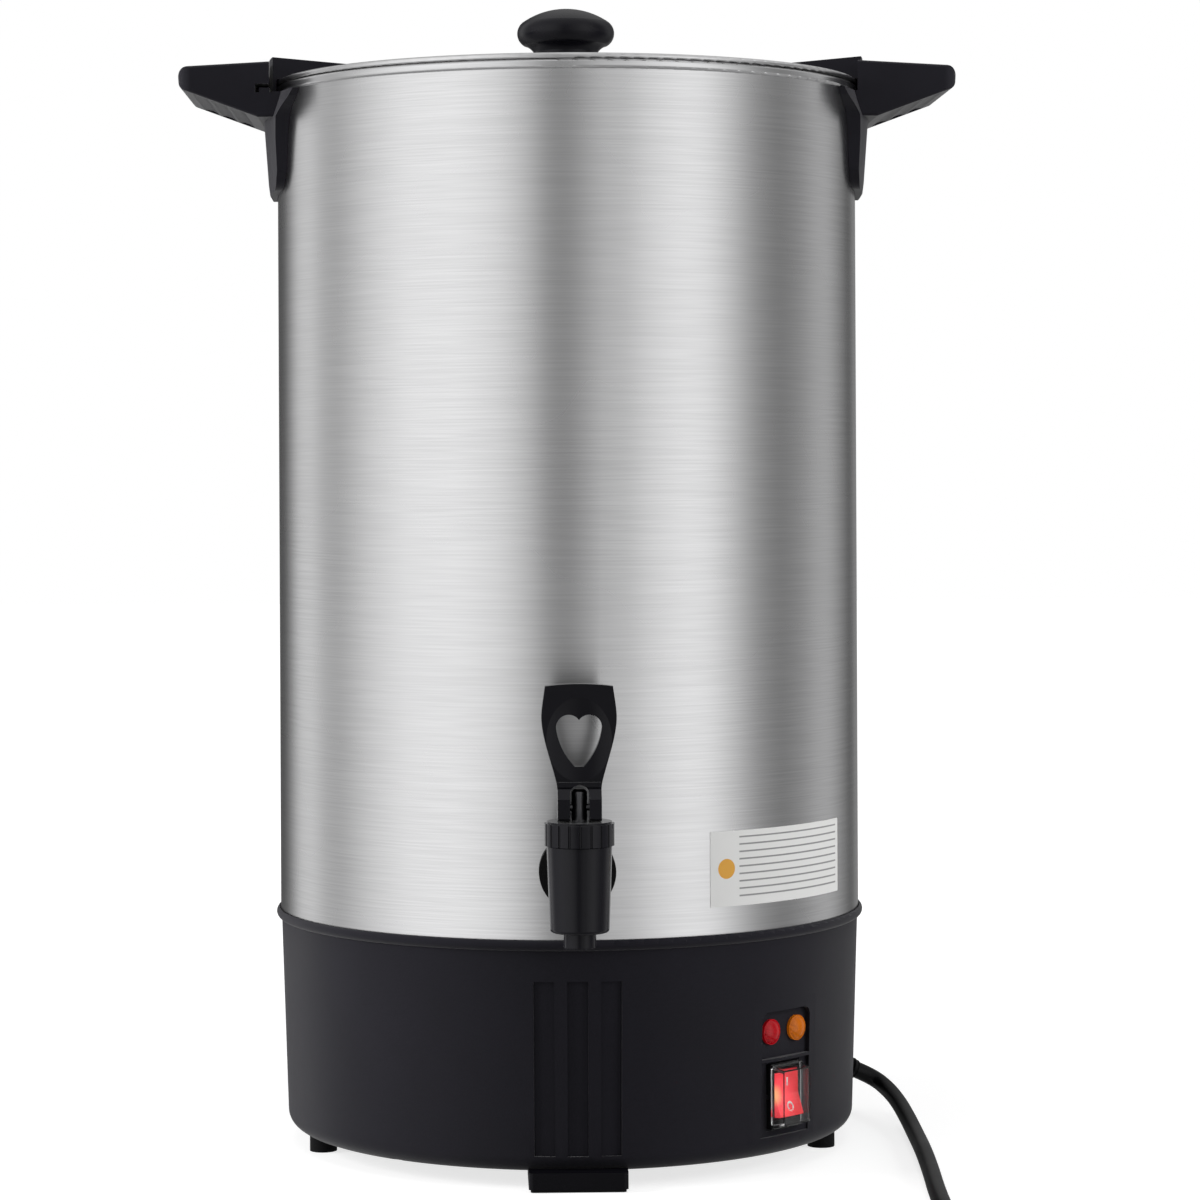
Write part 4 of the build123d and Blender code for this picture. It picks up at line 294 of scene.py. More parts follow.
def raised(tree, shader, height, strength, distance):
    """Gives a shader the relief of a height."""
    bump = joined(tree, "ShaderNodeBump",
                  [("Height", height), ("Strength", strength), ("Distance", distance)])
    tree.links.new(bump.outputs["Normal"], shader.inputs["Normal"])


def effect_node(tree, name, **values):
    """A shared effect placed in a material, with its own values."""
    node = joined(tree, "ShaderNodeGroup", node_tree=bpy.data.node_groups[name])
    for label, value in values.items():
        node.inputs[label.replace("_", " ")].default_value = value
    return node


# ------------------------------------------------------------------ finishes
def plastic(name, colour, roughness, grain_size=0.0005, grain_depth=0.12, variation=0.12, coat=0.0,
            mirror=0.2, sheen=0.0):
    """Moulded plastic or rubber with a fine grain and slow patches of shine."""
    material, tree, shader = bare_material(name)
    grain = effect_node(tree, "Moulded grain", Size=grain_size, Patch_size=0.05)
    tree.links.new(shaded(tree, grain.outputs["Patch"], colour, variation), shader.inputs["Base Color"])
    tree.links.new(spread(tree, grain.outputs["Patch"], roughness - 0.04, roughness + 0.05),
                   shader.inputs["Roughness"])
    raised(tree, shader, grain.outputs["Height"], grain_depth, grain_size)
    shader.inputs["Specular IOR Level"].default_value = mirror
    shader.inputs["Coat Weight"].default_value = coat
    shader.inputs["Coat Roughness"].default_value = 0.04
    shader.inputs["Sheen Weight"].default_value = sheen
    shader.inputs["Sheen Roughness"].default_value = 0.5
    return material


def brushed(name, colour, roughness, pitch, depth, line_length=0.035, anisotropy=0.6):
    """Brushed metal: lines round the axis in relief, with streaks of tone and shine."""
    material, tree, shader = bare_material(name)
    lines = effect_node(tree, "Brushing", Pitch=pitch, Line_length=line_length)
    tree.links.new(shaded(tree, lines.outputs["Tone"], colour, 0.05), shader.inputs["Base Color"])
    tree.links.new(spread(tree, lines.outputs["Patch"], roughness - 0.01, roughness + 0.015),
                   shader.inputs["Roughness"])
    raised(tree, shader, lines.outputs["Height"], depth, pitch / 4)
    shader.inputs["Metallic"].default_value = 1.0
    shader.inputs["Anisotropic"].default_value = anisotropy
    # A quarter turn, so that highlights draw out across the lines
    shader.inputs["Anisotropic Rotation"].default_value = 0.25
    tangent = joined(tree, "ShaderNodeTangent", direction_type="RADIAL", axis="Z")
    tree.links.new(tangent.outputs[0], shader.inputs["Tangent"])
    return material


def plain_metal(name, colour, roughness, spot=0.02):
    """Bare small metal pieces: slow patches and faint marks."""
    material, tree, shader = bare_material(name)
    grain = effect_node(tree, "Moulded grain", Size=spot * 0.1, Patch_size=spot)
    tree.links.new(shaded(tree, grain.outputs["Patch"], colour, 0.1), shader.inputs["Base Color"])
    tree.links.new(spread(tree, grain.outputs["Height"], roughness - 0.05, roughness + 0.07),
                   shader.inputs["Roughness"])
    shader.inputs["Metallic"].default_value = 1.0
    return material


def clear_plastic(name, colour, roughness):
    """See-through plastic with faint moulding waves."""
    material, tree, shader = bare_material(name)
    grain = effect_node(tree, "Moulded grain", Size=0.004, Patch_size=0.012)
    tree.links.new(spread(tree, grain.outputs["Patch"], max(0.0, roughness - 0.02), roughness + 0.03),
                   shader.inputs["Roughness"])
    raised(tree, shader, grain.outputs["Height"], 0.05, 0.0004)
    shader.inputs["Base Color"].default_value = colour
    shader.inputs["Transmission Weight"].default_value = 1.0
    shader.inputs["IOR"].default_value = 1.49
    return material


def lens_plastic(name, colour):
    """Tinted glossy plastic that a small lamp behind it lights a little."""
    material = plastic(name, colour, 0.3, grain_size=0.0016, grain_depth=0.5, variation=0.35, coat=0.6,
                       mirror=0.0)
    shader = material.node_tree.nodes["Principled BSDF"]
    shader.inputs["Emission Color"].default_value = colour
    shader.inputs["Emission Strength"].default_value = 0.25
    return material


def lit_plastic(name, colour, glow, lamp_place):
    """Tinted plastic with a lamp behind it: warm by the lamp, then fading into the plastic's own colour."""
    material = plastic(name, colour, 0.22, grain_size=0.0009, grain_depth=0.04, variation=0.1, coat=0.3,
                       mirror=0.1)
    tree = material.node_tree
    place = joined(tree, "ShaderNodeTexCoord").outputs["Object"]
    away = joined(tree, "ShaderNodeVectorMath", [(0, place), (1, lamp_place)],
                  operation="DISTANCE").outputs["Value"]
    warm = (1.0, 0.55, 0.25, 1)
    lit = (1.0, 0.10, 0.13, 1)
    faded = [channel * 0.45 for channel in colour[:3]] + [1]
    beyond_warm = ramp(tree, away, 0.0015, 0.0050)
    beyond_lit = ramp(tree, away, 0.004, 0.013)
    shader = tree.nodes["Principled BSDF"]
    tree.links.new(mixed(tree, beyond_warm, warm, mixed(tree, beyond_lit, lit, faded)),
                   shader.inputs["Emission Color"])
    shader.inputs["Emission Strength"].default_value = glow
    return material


def label_paper(label):
    """Pale sticker with grey ruled lines and a plain amber dot."""
    material, tree, shader = bare_material("Label paper")
    place = joined(tree, "ShaderNodeTexCoord").outputs["Object"]
    parts = joined(tree, "ShaderNodeSeparateXYZ", [("Vector", place)])

    # The print, in millimetres: ruled lines inside margins, right of a dot
    first_line, line_pitch, line_low, line_high = 2.6, 3.1, 0.40, 0.62
    margin_ends, margin_left, margin_right = 2.4, 14.5, 2.6
    dot_place, dot_radius = 8.0, 4.2

    def step(operation, first, second):
        return worked(tree, operation, first, second)

    # Height from the sticker's middle and distance along the pot, in millimetres
    up = step("MULTIPLY", step("SUBTRACT", parts.outputs["Z"], label.middle), 1 / MM)
    turn = step("ARCTAN2", parts.outputs["Y"], parts.outputs["X"])
    along = step("MULTIPLY", step("SUBTRACT", turn, label.azimuth), POT_RADIUS)
    half_height = label.height / MM / 2
    half_width = label.width / MM / 2
    row = step("FRACT", step("DIVIDE", step("ADD", up, half_height - first_line), line_pitch), 0.0)
    ruled = step("MULTIPLY", step("GREATER_THAN", row, line_low), step("LESS_THAN", row, line_high))
    inside = step("MULTIPLY", step("LESS_THAN", step("ABSOLUTE", up, 0.0), half_height - margin_ends),
                  step("MULTIPLY", step("GREATER_THAN", along, margin_left - half_width),
                       step("LESS_THAN", along, half_width - margin_right)))
    lines = step("MULTIPLY", ruled, inside)
    from_dot = step("SUBTRACT", along, dot_place - half_width)
    far = step("POWER", step("ADD", step("POWER", from_dot, 2.0), step("POWER", up, 2.0)), 0.5)
    dot = step("LESS_THAN", far, dot_radius)
    paper = mixed(tree, lines, (0.80, 0.80, 0.79, 1), (0.28, 0.28, 0.28, 1))
    tree.links.new(mixed(tree, dot, paper, (0.75, 0.38, 0.06, 1)), shader.inputs["Base Color"])
    shader.inputs["Roughness"].default_value = 0.45
    return material


def make_finishes(settings):
    """Every finish of the urn by name, built from the settings."""
    steel, body, lamps = settings.steel, settings.plastic, settings.lamps
    grain_effect()
    brushing_effect()
    black = tuple(body.colour)
    forward, above, left = ROCKER_LAMP
    rocker_lamp = panel_frame(SWITCH_PAD + forward, SWITCH_HEIGHT + above) @ Vector((-left * MM, 0, 0))
    # Plastics give colour, roughness, grain size and depth; metals give colour, roughness and spot size
    return {
        "pot steel": brushed("Pot steel", steel.colour, steel.roughness, steel.brush_pitch,
                             steel.brush_depth),
        "lid steel": brushed("Lid steel", steel.colour, steel.roughness + 0.02, steel.brush_pitch * 1.5,
                             steel.brush_depth, line_length=0.004, anisotropy=0.3),
        "housing black": plastic("Housing black", black, body.roughness, body.grain_size, body.grain_depth,
                                 mirror=0.06, sheen=0.16),
        "handle black": plastic("Handle black", black, body.roughness - 0.05, body.grain_size * 0.8,
                                body.grain_depth * 0.7, mirror=0.1, sheen=0.15),
        "knob black": plastic("Knob black", (0.004, 0.0038, 0.0062, 1), 0.28, 0.0005, 0.05, mirror=0.2),
        "tap black": plastic("Tap black", (0.0055, 0.0052, 0.0080, 1), 0.13, 0.0005, 0.02, mirror=0.17,
                             sheen=0.05),
        "foot black": plastic("Foot black", (0.004, 0.0038, 0.0055, 1), 0.36, 0.0005, 0.1, mirror=0.1),
        "rubber black": plastic("Rubber black", (0.008, 0.008, 0.0085, 1), 0.7, 0.0008, 0.25, mirror=0.1),
        "cord black": plastic("Cord black", (0.005, 0.005, 0.0055, 1), 0.35, 0.0009, 0.1, mirror=0.12),
        "silicone grey": plastic("Silicone grey", (0.16, 0.16, 0.16, 1), 0.55, 0.0008, 0.1),
        "nut grey": plastic("Nut grey", (0.42, 0.42, 0.41, 1), 0.45, 0.0008, 0.1),
        "phenolic brown": plastic("Phenolic brown", (0.06, 0.04, 0.028, 1), 0.35, 0.0006, 0.1),
        "switch black": plastic("Switch black", (0.006, 0.006, 0.0065, 1), 0.33, 0.0005, 0.06),
        "wire sleeve": plastic("Wire sleeve", (0.45, 0.44, 0.40, 1), 0.8, 0.0006, 0.6),
        "black paint": plastic("Black paint", (0.025, 0.025, 0.026, 1), 0.38, 0.0012, 0.2),
        "bright steel": plain_metal("Bright steel", (0.62, 0.62, 0.61, 1), 0.25),
        "dark steel": plain_metal("Dark steel", (0.10, 0.10, 0.105, 1), 0.35),
        "aluminium": plain_metal("Aluminium", (0.74, 0.74, 0.75, 1), 0.36, 0.05),
        "element sheath": plain_metal("Element sheath", (0.22, 0.21, 0.2, 1), 0.45),
        "brass": plain_metal("Brass", (0.72, 0.50, 0.22, 1), 0.3),
        "red lens": lens_plastic("Red lens", tuple(lamps.red)),
        "amber lens": lens_plastic("Amber lens", tuple(lamps.amber)),
        "rocker red": lit_plastic("Rocker red", tuple(lamps.rocker), lamps.glow, rocker_lamp),
        "clear cover": clear_plastic("Clear cover", (0.97, 0.98, 0.98, 1), 0.06),
        # Light grey for the clear cover's softened edges: painted highlight lines, not a real frosting
        "painted edge highlight": plastic("Frosted edge", (0.62, 0.63, 0.64, 1), 0.3, 0.0004, 0.1, variation=0.06,
                                mirror=0.5),
        "label paper": label_paper(settings.label),
        "mark white": plastic("Mark white", (0.85, 0.83, 0.80, 1), 0.4, 0.0006, 0.05, variation=0.04),
    }


# The finishes by name, filled by main, and the nodes that show each one
FINISHES = {}
NODE_FINISH = {
    "pot steel": ["pot_shell", "pot_floor"],
    "lid steel": ["lid_panel"],
    "housing black": ["base_housing"],
    "handle black": ["handle_right", "handle_left", "lid_lug_right", "lid_lug_left"],
    "knob black": ["lid_knob"],
    "tap black": ["tap_body", "tap_bonnet", "tap_lever"],
    "foot black": ["front_foot"],
    "rubber black": ["rubber_feet", "front_foot_pad", "tap_flange_washer"],
    "cord black": ["cord_gland", "plug_body"],
    "silicone grey": ["handle_gaskets", "knob_washer", "tap_inner_washer", "tap_seat_cup"],
    "nut grey": ["tap_nut"],
    "phenolic brown": ["thermostat", "thermal_cutout", "terminal_block", "pilot_bodies"],
    "switch black": ["switch_housing"],
    "wire sleeve": ["supply_leads", "switch_leads"],
    "black paint": ["base_plate", "tie_rods"],
    "bright steel": ["tie_nuts", "foot_screws", "clamp_studs", "handle_screws", "lid_lug_rivets",
                     "knob_screw", "tap_spring", "switch_pin", "element_clamp", "pump_foot"],
    "dark steel": ["tap_stem", "tap_pivot_pin"],
    "aluminium": ["heater_plate", "pump_tube", "coffee_basket", "basket_cover"],
    "element sheath": ["heating_element"],
    "brass": ["switch_terminals", "plug_blades"],
    "red lens": ["pilot_lens_red"],
    "amber lens": ["pilot_lens_amber"],
    "rocker red": ["switch_rocker"],
    "clear cover": ["switch_cover"],
}

# Widths of the softened edges of moulded pieces, in millimetres
SOFT_EDGES = {"base_housing": 0.3, "front_foot": 0.5, "tap_body": 0.3, "tap_bonnet": 0.25,
              "tap_lever": 0.35, "switch_cover": 0.35, "handle_right": 0.4, "handle_left": 0.4}
SOFT_EDGE_ANGLE = radians(40)


# ------------------------------------------------------------------ mesh tools
CREASE = radians(32)


def outward(azimuth):
    """Level direction from the axis at an azimuth."""
    return Vector((cos(azimuth), sin(azimuth), 0))


def panel_frame(distance, height):
    """Matrix of the switch panel in millimetres: x runs to the right, y up and z out of the panel."""
    out = outward(PANEL_AZIMUTH)
    right = Vector((-out.y, out.x, 0))
    place = out * distance + Vector((0, 0, height))
    return Matrix.Translation(place * MM) @ Matrix((right, Vector((0, 0, 1)), out)).transposed().to_4x4()


def frame_along(place, direction):
    """Matrix at a place in millimetres whose local z runs along the direction."""
    turn = Vector(direction).to_track_quat("Z", "Y").to_matrix().to_4x4()
    return Matrix.Translation(Vector(place) * MM) @ turn


def rocker_face(place):
    """Matrix on the rocker at a distance up from its pivot in millimetres: z runs out of the facet there."""
    side = 1 if place > 0 else -1
    height = ROCKER_MIDDLE + abs(place) * ROCKER_RISE / ROCKER_REACH
    face = panel_frame(SWITCH_PAD + ROCKER_PIVOT, SWITCH_HEIGHT) @ Matrix.Rotation(-ROCKER_TILT, 4, "X")
    face = face @ Matrix.Translation(Vector((0, place, height)) * MM)
    return face @ Matrix.Rotation(side * atan2(ROCKER_RISE, ROCKER_REACH), 4, "X")


def made(mesh, name, finish, body, replaces=()):
    """The finished piece from a bmesh: smooth faces, crisp edges, finish and body."""
    bmesh.ops.recalc_face_normals(mesh, faces=mesh.faces)
    for face in mesh.faces:
        face.smooth = True
    for edge in mesh.edges:
        edge.smooth = len(edge.link_faces) == 2 and edge.calc_face_angle(0) < CREASE
    data = bpy.data.meshes.new(name)
    mesh.to_mesh(data)
    mesh.free()
    piece = bpy.data.objects.new(name, data)
    bpy.context.scene.collection.objects.link(piece)
    data.materials.append(FINISHES[finish])
    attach(piece, body)
    if replaces:
        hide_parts(*replaces)
    return piece


def circle(mesh, matrix, radius, height, steps, stretch=1.0):
    """Adds the corners of a ring in millimetres, stretched along y."""
    return [mesh.verts.new(matrix @ Vector((radius * MM * cos(2 * pi * i / steps),
                                            radius * MM * stretch * sin(2 * pi * i / steps), height * MM)))
            for i in range(steps)]


def banded(mesh, low, high):
    """Adds the faces between two rings of as many corners."""
    count = len(low)
    for i in range(count):
        j = (i + 1) % count
        mesh.faces.new((low[i], low[j], high[j], high[i]))


def turned(mesh, matrix, profile, steps=64):
    """Adds a lathe form: profile is (radius, height) pairs in millimetres; radius 0 closes an end."""
    rings = []
    for radius, height in profile:
        if radius == 0:
            rings.append([mesh.verts.new(matrix @ Vector((0, 0, height * MM)))])
        else:
            rings.append(circle(mesh, matrix, radius, height, steps))
    for low, high in zip(rings, rings[1:]):
        if len(low) == len(high):
            banded(mesh, low, high)
            continue
        for i in range(steps):
            j = (i + 1) % steps
            if len(low) == 1:
                mesh.faces.new((low[0], high[j], high[i]))
            else:
                mesh.faces.new((low[i], low[j], high[0]))


def rounded(width, height, corner, steps=6):
    """Points of a rounded rectangle about the origin."""
    points = []
    for k, (sx, sy) in enumerate(((1, 1), (-1, 1), (-1, -1), (1, -1))):
        for i in range(steps + 1):
            angle = (k + i / steps) * pi / 2
            points.append((sx * (width / 2 - corner) + corner * cos(angle),
                           sy * (height / 2 - corner) + corner * sin(angle)))
    return points


def layered(mesh, matrix, layers):
    """Adds a closed form through layers: each is (height, outline points), all with as many points."""
    rings = [[mesh.verts.new(matrix @ Vector((x * MM, y * MM, height * MM))) for x, y in points]
             for height, points in layers]
    for low, high in zip(rings, rings[1:]):
        banded(mesh, low, high)
    mesh.faces.new(list(reversed(rings[0])))
    mesh.faces.new(rings[-1])


def block(mesh, matrix, size, lift=0.0, edge=0.2):
    """Adds a small bar with softened edges, its foot lifted along z, in millimetres."""
    width, height, depth = size
    corner = min(width, height) * 0.3
    layered(mesh, matrix, [
        (lift + level, rounded(width - 2 * inset, height - 2 * inset, corner))
        for level, inset in ((0, edge), (edge, 0), (depth - edge, 0), (depth, edge))])


# ------------------------------------------------------------------ studio
# The camera: its place in metres, its roll, and its lens in millimetres
EYE = Vector((-0.0402, -1.6085, 0.304))
EYE_ROLL = -0.0045
SENSOR_WIDTH = 36
LENS = 106.8
LENS_SHIFT = (0.027, -0.1168)

# Softboxes: name, the setting of its power, its sides, azimuth, height and distance from the axis, in metres
SOFTBOXES = (
    ("Left softbox", "key", (0.6, 1.1), radians(-170), 0.60, 1.55),
    ("Right softbox", "fill", (0.5, 1.0), radians(-18), 0.65, 1.60),
    ("Top softbox", "top", (1.4, 1.4), radians(-90), 1.9, 0.35))
# The place that they face
LIT_PLACE = Vector((0, 0, 0.26))

# Half the floor's side and its drop below the feet, in metres
FLOOR_HALF = 6.0
FLOOR_DROP = 0.0002
# Its glow to the camera runs from dim to full between these distances from the origin, in metres
PAPER_NEAR = 0.35
PAPER_FAR = 1.1
PAPER_DIM = 0.74
PAPER_FULL = 1.0

# Brightness of the room as the steel mirrors it, by degrees turning left from the camera's side of the urn
ROOM_WALLS = (
    (1, 0.30), (9, 0.34), (15, 0.72), (28, 1.12), (45, 1.30), (67, 1.26), (84, 0.98), (103, 0.54),
    (113, 0.60), (122, 0.88), (134, 0.82), (143, 0.34), (152, 0.09), (167, 0.08), (180, 0.30), (201, 0.30),
    (212, 0.08), (225, 0.32), (237, 0.58), (247, 0.54), (256, 0.38), (270, 0.24), (283, 0.42), (294, 0.82),
    (306, 1.24), (316, 1.26), (331, 1.00), (339, 0.74), (346, 0.76), (355, 0.50), (360, 0.34))
ROOM_BRIGHTEST = 1.30

# Climb of a mirrored ray where the walls start to give way and where the ceiling or the floor is whole
CEILING_BAND = (0.45, 0.85)
FLOOR_BAND = (-0.30, -0.60)


def studio_paper():
    """White paper that keeps the urn's shadow and glows towards its far edges, so it has no horizon."""
    paper = bpy.data.materials.new("Studio paper")
    paper.use_nodes = True
    tree = paper.node_tree
    tree.nodes.clear()
    place = joined(tree, "ShaderNodeNewGeometry").outputs["Position"]
    far = joined(tree, "ShaderNodeVectorMath", [(0, place)], operation="LENGTH").outputs["Value"]
    level = joined(tree, "ShaderNodeMapRange",
                   [("Value", far), ("From Min", PAPER_NEAR), ("From Max", PAPER_FAR),
                    ("To Min", PAPER_DIM), ("To Max", PAPER_FULL)]).outputs["Result"]
    seen = joined(tree, "ShaderNodeLightPath").outputs["Is Camera Ray"]
    strength = worked(tree, "MULTIPLY", seen, level)
    matt = joined(tree, "ShaderNodeBsdfDiffuse", [("Color", (0.45, 0.45, 0.45, 1))])
    glow = joined(tree, "ShaderNodeEmission", [("Color", (1, 1, 1, 1)), ("Strength", strength)])
    both = joined(tree, "ShaderNodeAddShader", [(0, matt.outputs[0]), (1, glow.outputs[0])])
    joined(tree, "ShaderNodeOutputMaterial", [("Surface", both.outputs[0])])
    return paper


def light_room(scene, studio):
    """The world: white to the camera, soft light to matt surfaces, walls and ceiling to shiny ones."""
    world = bpy.data.worlds.new("Room")
    scene.world = world
    world.use_nodes = True
    tree = world.node_tree
    tree.nodes.clear()
    place = joined(tree, "ShaderNodeTexCoord").outputs["Generated"]
    parts = joined(tree, "ShaderNodeSeparateXYZ", [("Vector", place)])
    turn = worked(tree, "ARCTAN2", parts.outputs["X"], parts.outputs["Y"])
    share = worked(tree, "ADD", worked(tree, "DIVIDE", turn, 2 * pi), 0.5)
    walls = joined(tree, "ShaderNodeValToRGB", [("Fac", share)])
    stops = walls.color_ramp.elements
    while len(stops) < len(ROOM_WALLS):
        stops.new(0.5)
    for stop, (degrees_left, level) in zip(stops, ROOM_WALLS):
        stop.position = degrees_left / 360
        stop.color = (*([level / ROOM_BRIGHTEST] * 3), 1)
    mirrored = walls.outputs["Color"]
    for (low, high), level in ((CEILING_BAND, studio.ceiling), (FLOOR_BAND, studio.mirrored_floor)):
        grey = level / ROOM_BRIGHTEST
        mirrored = mixed(tree, ramp(tree, parts.outputs["Z"], low, high), mirrored, (grey, grey, grey, 1))
    mirror = joined(tree, "ShaderNodeBackground", [("Color", mirrored), ("Strength", ROOM_BRIGHTEST)])
    room = joined(tree, "ShaderNodeBackground", [("Color", (1, 1, 1, 1)), ("Strength", studio.room)])
    white = joined(tree, "ShaderNodeBackground", [("Color", (1, 1, 1, 1)), ("Strength", 1.0)])
    ray = joined(tree, "ShaderNodeLightPath")
    shiny = joined(tree, "ShaderNodeMixShader", [(0, ray.outputs["Is Glossy Ray"]), (1, room.outputs[0]),
                                                 (2, mirror.outputs[0])])
    seen = worked(tree, "MAXIMUM", ray.outputs["Is Camera Ray"], ray.outputs["Is Transmission Ray"])
    whole = joined(tree, "ShaderNodeMixShader", [(0, seen), (1, shiny.outputs[0]), (2, white.outputs[0])])
    joined(tree, "ShaderNodeOutputWorld", [("Surface", whole.outputs[0])])


def place_camera(scene):
    """The camera, level and looking at the pot's axis before its shift."""
    lens = bpy.data.cameras.new("Camera")
    camera = bpy.data.objects.new("Camera", lens)
    scene.collection.objects.link(camera)
    turn = (Vector((0, 0, EYE.z)) - EYE).to_track_quat("-Z", "Y").to_matrix().to_4x4()
    camera.matrix_world = Matrix.Translation(EYE) @ turn @ Matrix.Rotation(EYE_ROLL, 4, "Z")
    lens.sensor_width = SENSOR_WIDTH
    lens.lens = LENS
    lens.shift_x, lens.shift_y = LENS_SHIFT
    lens.clip_start = 0.05
    lens.clip_end = 50
    scene.camera = camera


def lay_floor(scene):
    """The pale floor, which shiny surfaces don't mirror."""
    floor = bpy.data.meshes.new("Floor")
    corners = [(x * FLOOR_HALF, y * FLOOR_HALF, 0) for x, y in ((-1, -1), (1, -1), (1, 1), (-1, 1))]
    floor.from_pydata(corners, [], [(0, 1, 2, 3)])
    floor.materials.append(studio_paper())
    floor_piece = bpy.data.objects.new("Floor", floor)
    scene.collection.objects.link(floor_piece)
    floor_piece.location.z = -FLOOR_DROP
    floor_piece.visible_glossy = False


def hang_softboxes(scene, studio):
    """The softboxes, which light the urn and aren't mirrored in it."""
    for name, setting, size, azimuth, height, distance in SOFTBOXES:
        light = bpy.data.lights.new(name, "AREA")
        light.shape = "RECTANGLE"
        light.size, light.size_y = size
        light.energy = getattr(studio, setting)
        lamp = bpy.data.objects.new(name, light)
        scene.collection.objects.link(lamp)
        lamp.visible_glossy = False
        lamp.location = outward(azimuth) * distance + Vector((0, 0, height))
        lamp.rotation_euler = (LIT_PLACE - lamp.location).to_track_quat("-Z", "Y").to_euler()


# ------------------------------------------------------------------ pieces
class URN_OT_studio(bpy.types.Operator):
    """Camera, pale floor, soft lights and the room's light"""
    bl_idname = "urn.studio"
    bl_label = "Studio"

    def execute(self, context):
        scene = context.scene
        scene.view_settings.view_transform = "Standard"
        place_camera(scene)
        lay_floor(scene)
        hang_softboxes(scene, scene.urn.studio)
        light_room(scene, scene.urn.studio)
        return {"FINISHED"}


def coil_points():
    """The put-away coil: three turns inside each other, then a climb over them to the plug."""
    # Clockwise from above, twelve points to a turn: (radius, height) of the cord's middle
    outer, middle, inner = 48.0, 40.2, 32.4
    turns = [(outer, CORD_MIDDLE)] * 11 + [((outer + middle) / 2, CORD_MIDDLE)]
    turns += [(middle, CORD_MIDDLE)] * 11 + [((middle + inner) / 2, CORD_MIDDLE)]
    turns += [(inner, CORD_MIDDLE)] * 9
    turns += [(inner, 4.2), (32.8, 8.0), (34.4, 12.2), (37.4, 12.6), (40.4, 12.0), (42.0, 11.2),
              (42.0, 10.8)]
    # The curve runs inside its points, so they lie further out by this share
    outside = 1 / 0.9665
    coil_x, coil_y = 96.0, -280.0
    points = []
    for step, (radius, height) in enumerate(turns):
        angle = -step * pi / 6
        points.append(Vector((coil_x + radius * outside * cos(angle),
                              coil_y + radius * outside * sin(angle), height)))
    return points


def cord_points():
    """The cord's route in millimetres, from the strain relief over the table to the coil and the plug."""
    leave = GLAND_SEAT + GLAND_DIRECTION * GLAND_LENGTH
    points = [leave, leave + GLAND_DIRECTION * 10.0]
    points += [Vector(point) for point in (
        (148.0, 38.0, 11.9), (151.2, 23.8, 8.6), (152.6, 1.5, 5.6), (152.6, -28.0, CORD_MIDDLE),
        (151.4, -68.0, CORD_MIDDLE), (149.0, -112.0, CORD_MIDDLE), (146.0, -156.0, CORD_MIDDLE),
        (144.0, -203.0, CORD_MIDDLE), (144.0, -248.0, CORD_MIDDLE))]
    points += coil_points()
    return points + [Vector((x, -322.0, PLUG_MIDDLE)) for x in (84.0, 72.0, 60.5)]


class URN_OT_cord(bpy.types.Operator):
    """The mains cord from the strain relief over the table into its put-away coil"""
    bl_idname = "urn.cord"
    bl_label = "Mains cord"

    def execute(self, context):
        sizes = context.scene.urn.cord
        points = cord_points()
        line = bpy.data.curves.new("Mains_cord", "CURVE")
        line.dimensions = "3D"
        spline = line.splines.new("NURBS")
        spline.points.add(len(points) - 1)
        for knot, point in zip(spline.points, points):
            knot.co = (*(point * MM), 1)
        spline.order_u = 3
        spline.use_endpoint_u = True
        spline.resolution_u = 6
        line.bevel_depth = sizes.diameter / 2
        line.bevel_resolution = 6
        line.use_fill_caps = True
        cord = bpy.data.objects.new("Mains_cord", line)
        context.scene.collection.objects.link(cord)
        line.materials.append(FINISHES["cord black"])
        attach(cord, "urn")
        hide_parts("power_cord", "cord_coil")
        return {"FINISHED"}


class URN_OT_finishes(bpy.types.Operator):
    """Finishes of the solids that show as they are"""
    bl_idname = "urn.finishes"
    bl_label = "Finishes"

    def execute(self, context):
        for finish, names in NODE_FINISH.items():
            for name in names:
                solid = NODES[name]
                solid.data.materials.clear()
                solid.data.materials.append(FINISHES[finish])
        for name, width in SOFT_EDGES.items():
            soften = NODES[name].modifiers.new("Soft edges", "BEVEL")
            soften.width = width * MM
            soften.segments = 2
            soften.limit_method = "ANGLE"
            soften.angle_limit = SOFT_EDGE_ANGLE
            soften.harden_normals = False
        # The clear cover's softened edges take a second finish: light grey, a painted highlight along each
        # edge
        NODES["switch_cover"].data.materials.append(FINISHES["painted edge highlight"])
        NODES["switch_cover"].modifiers["Soft edges"].material = 1
        return {"FINISHED"}


class URN_OT_spring(bpy.types.Operator):
    """Gives the tap spring a mesh of its own"""
    bl_idname = "urn.spring"
    bl_label = "Tap spring"

    def execute(self, context):
        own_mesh(NODES["tap_spring"])
        return {"FINISHED"}


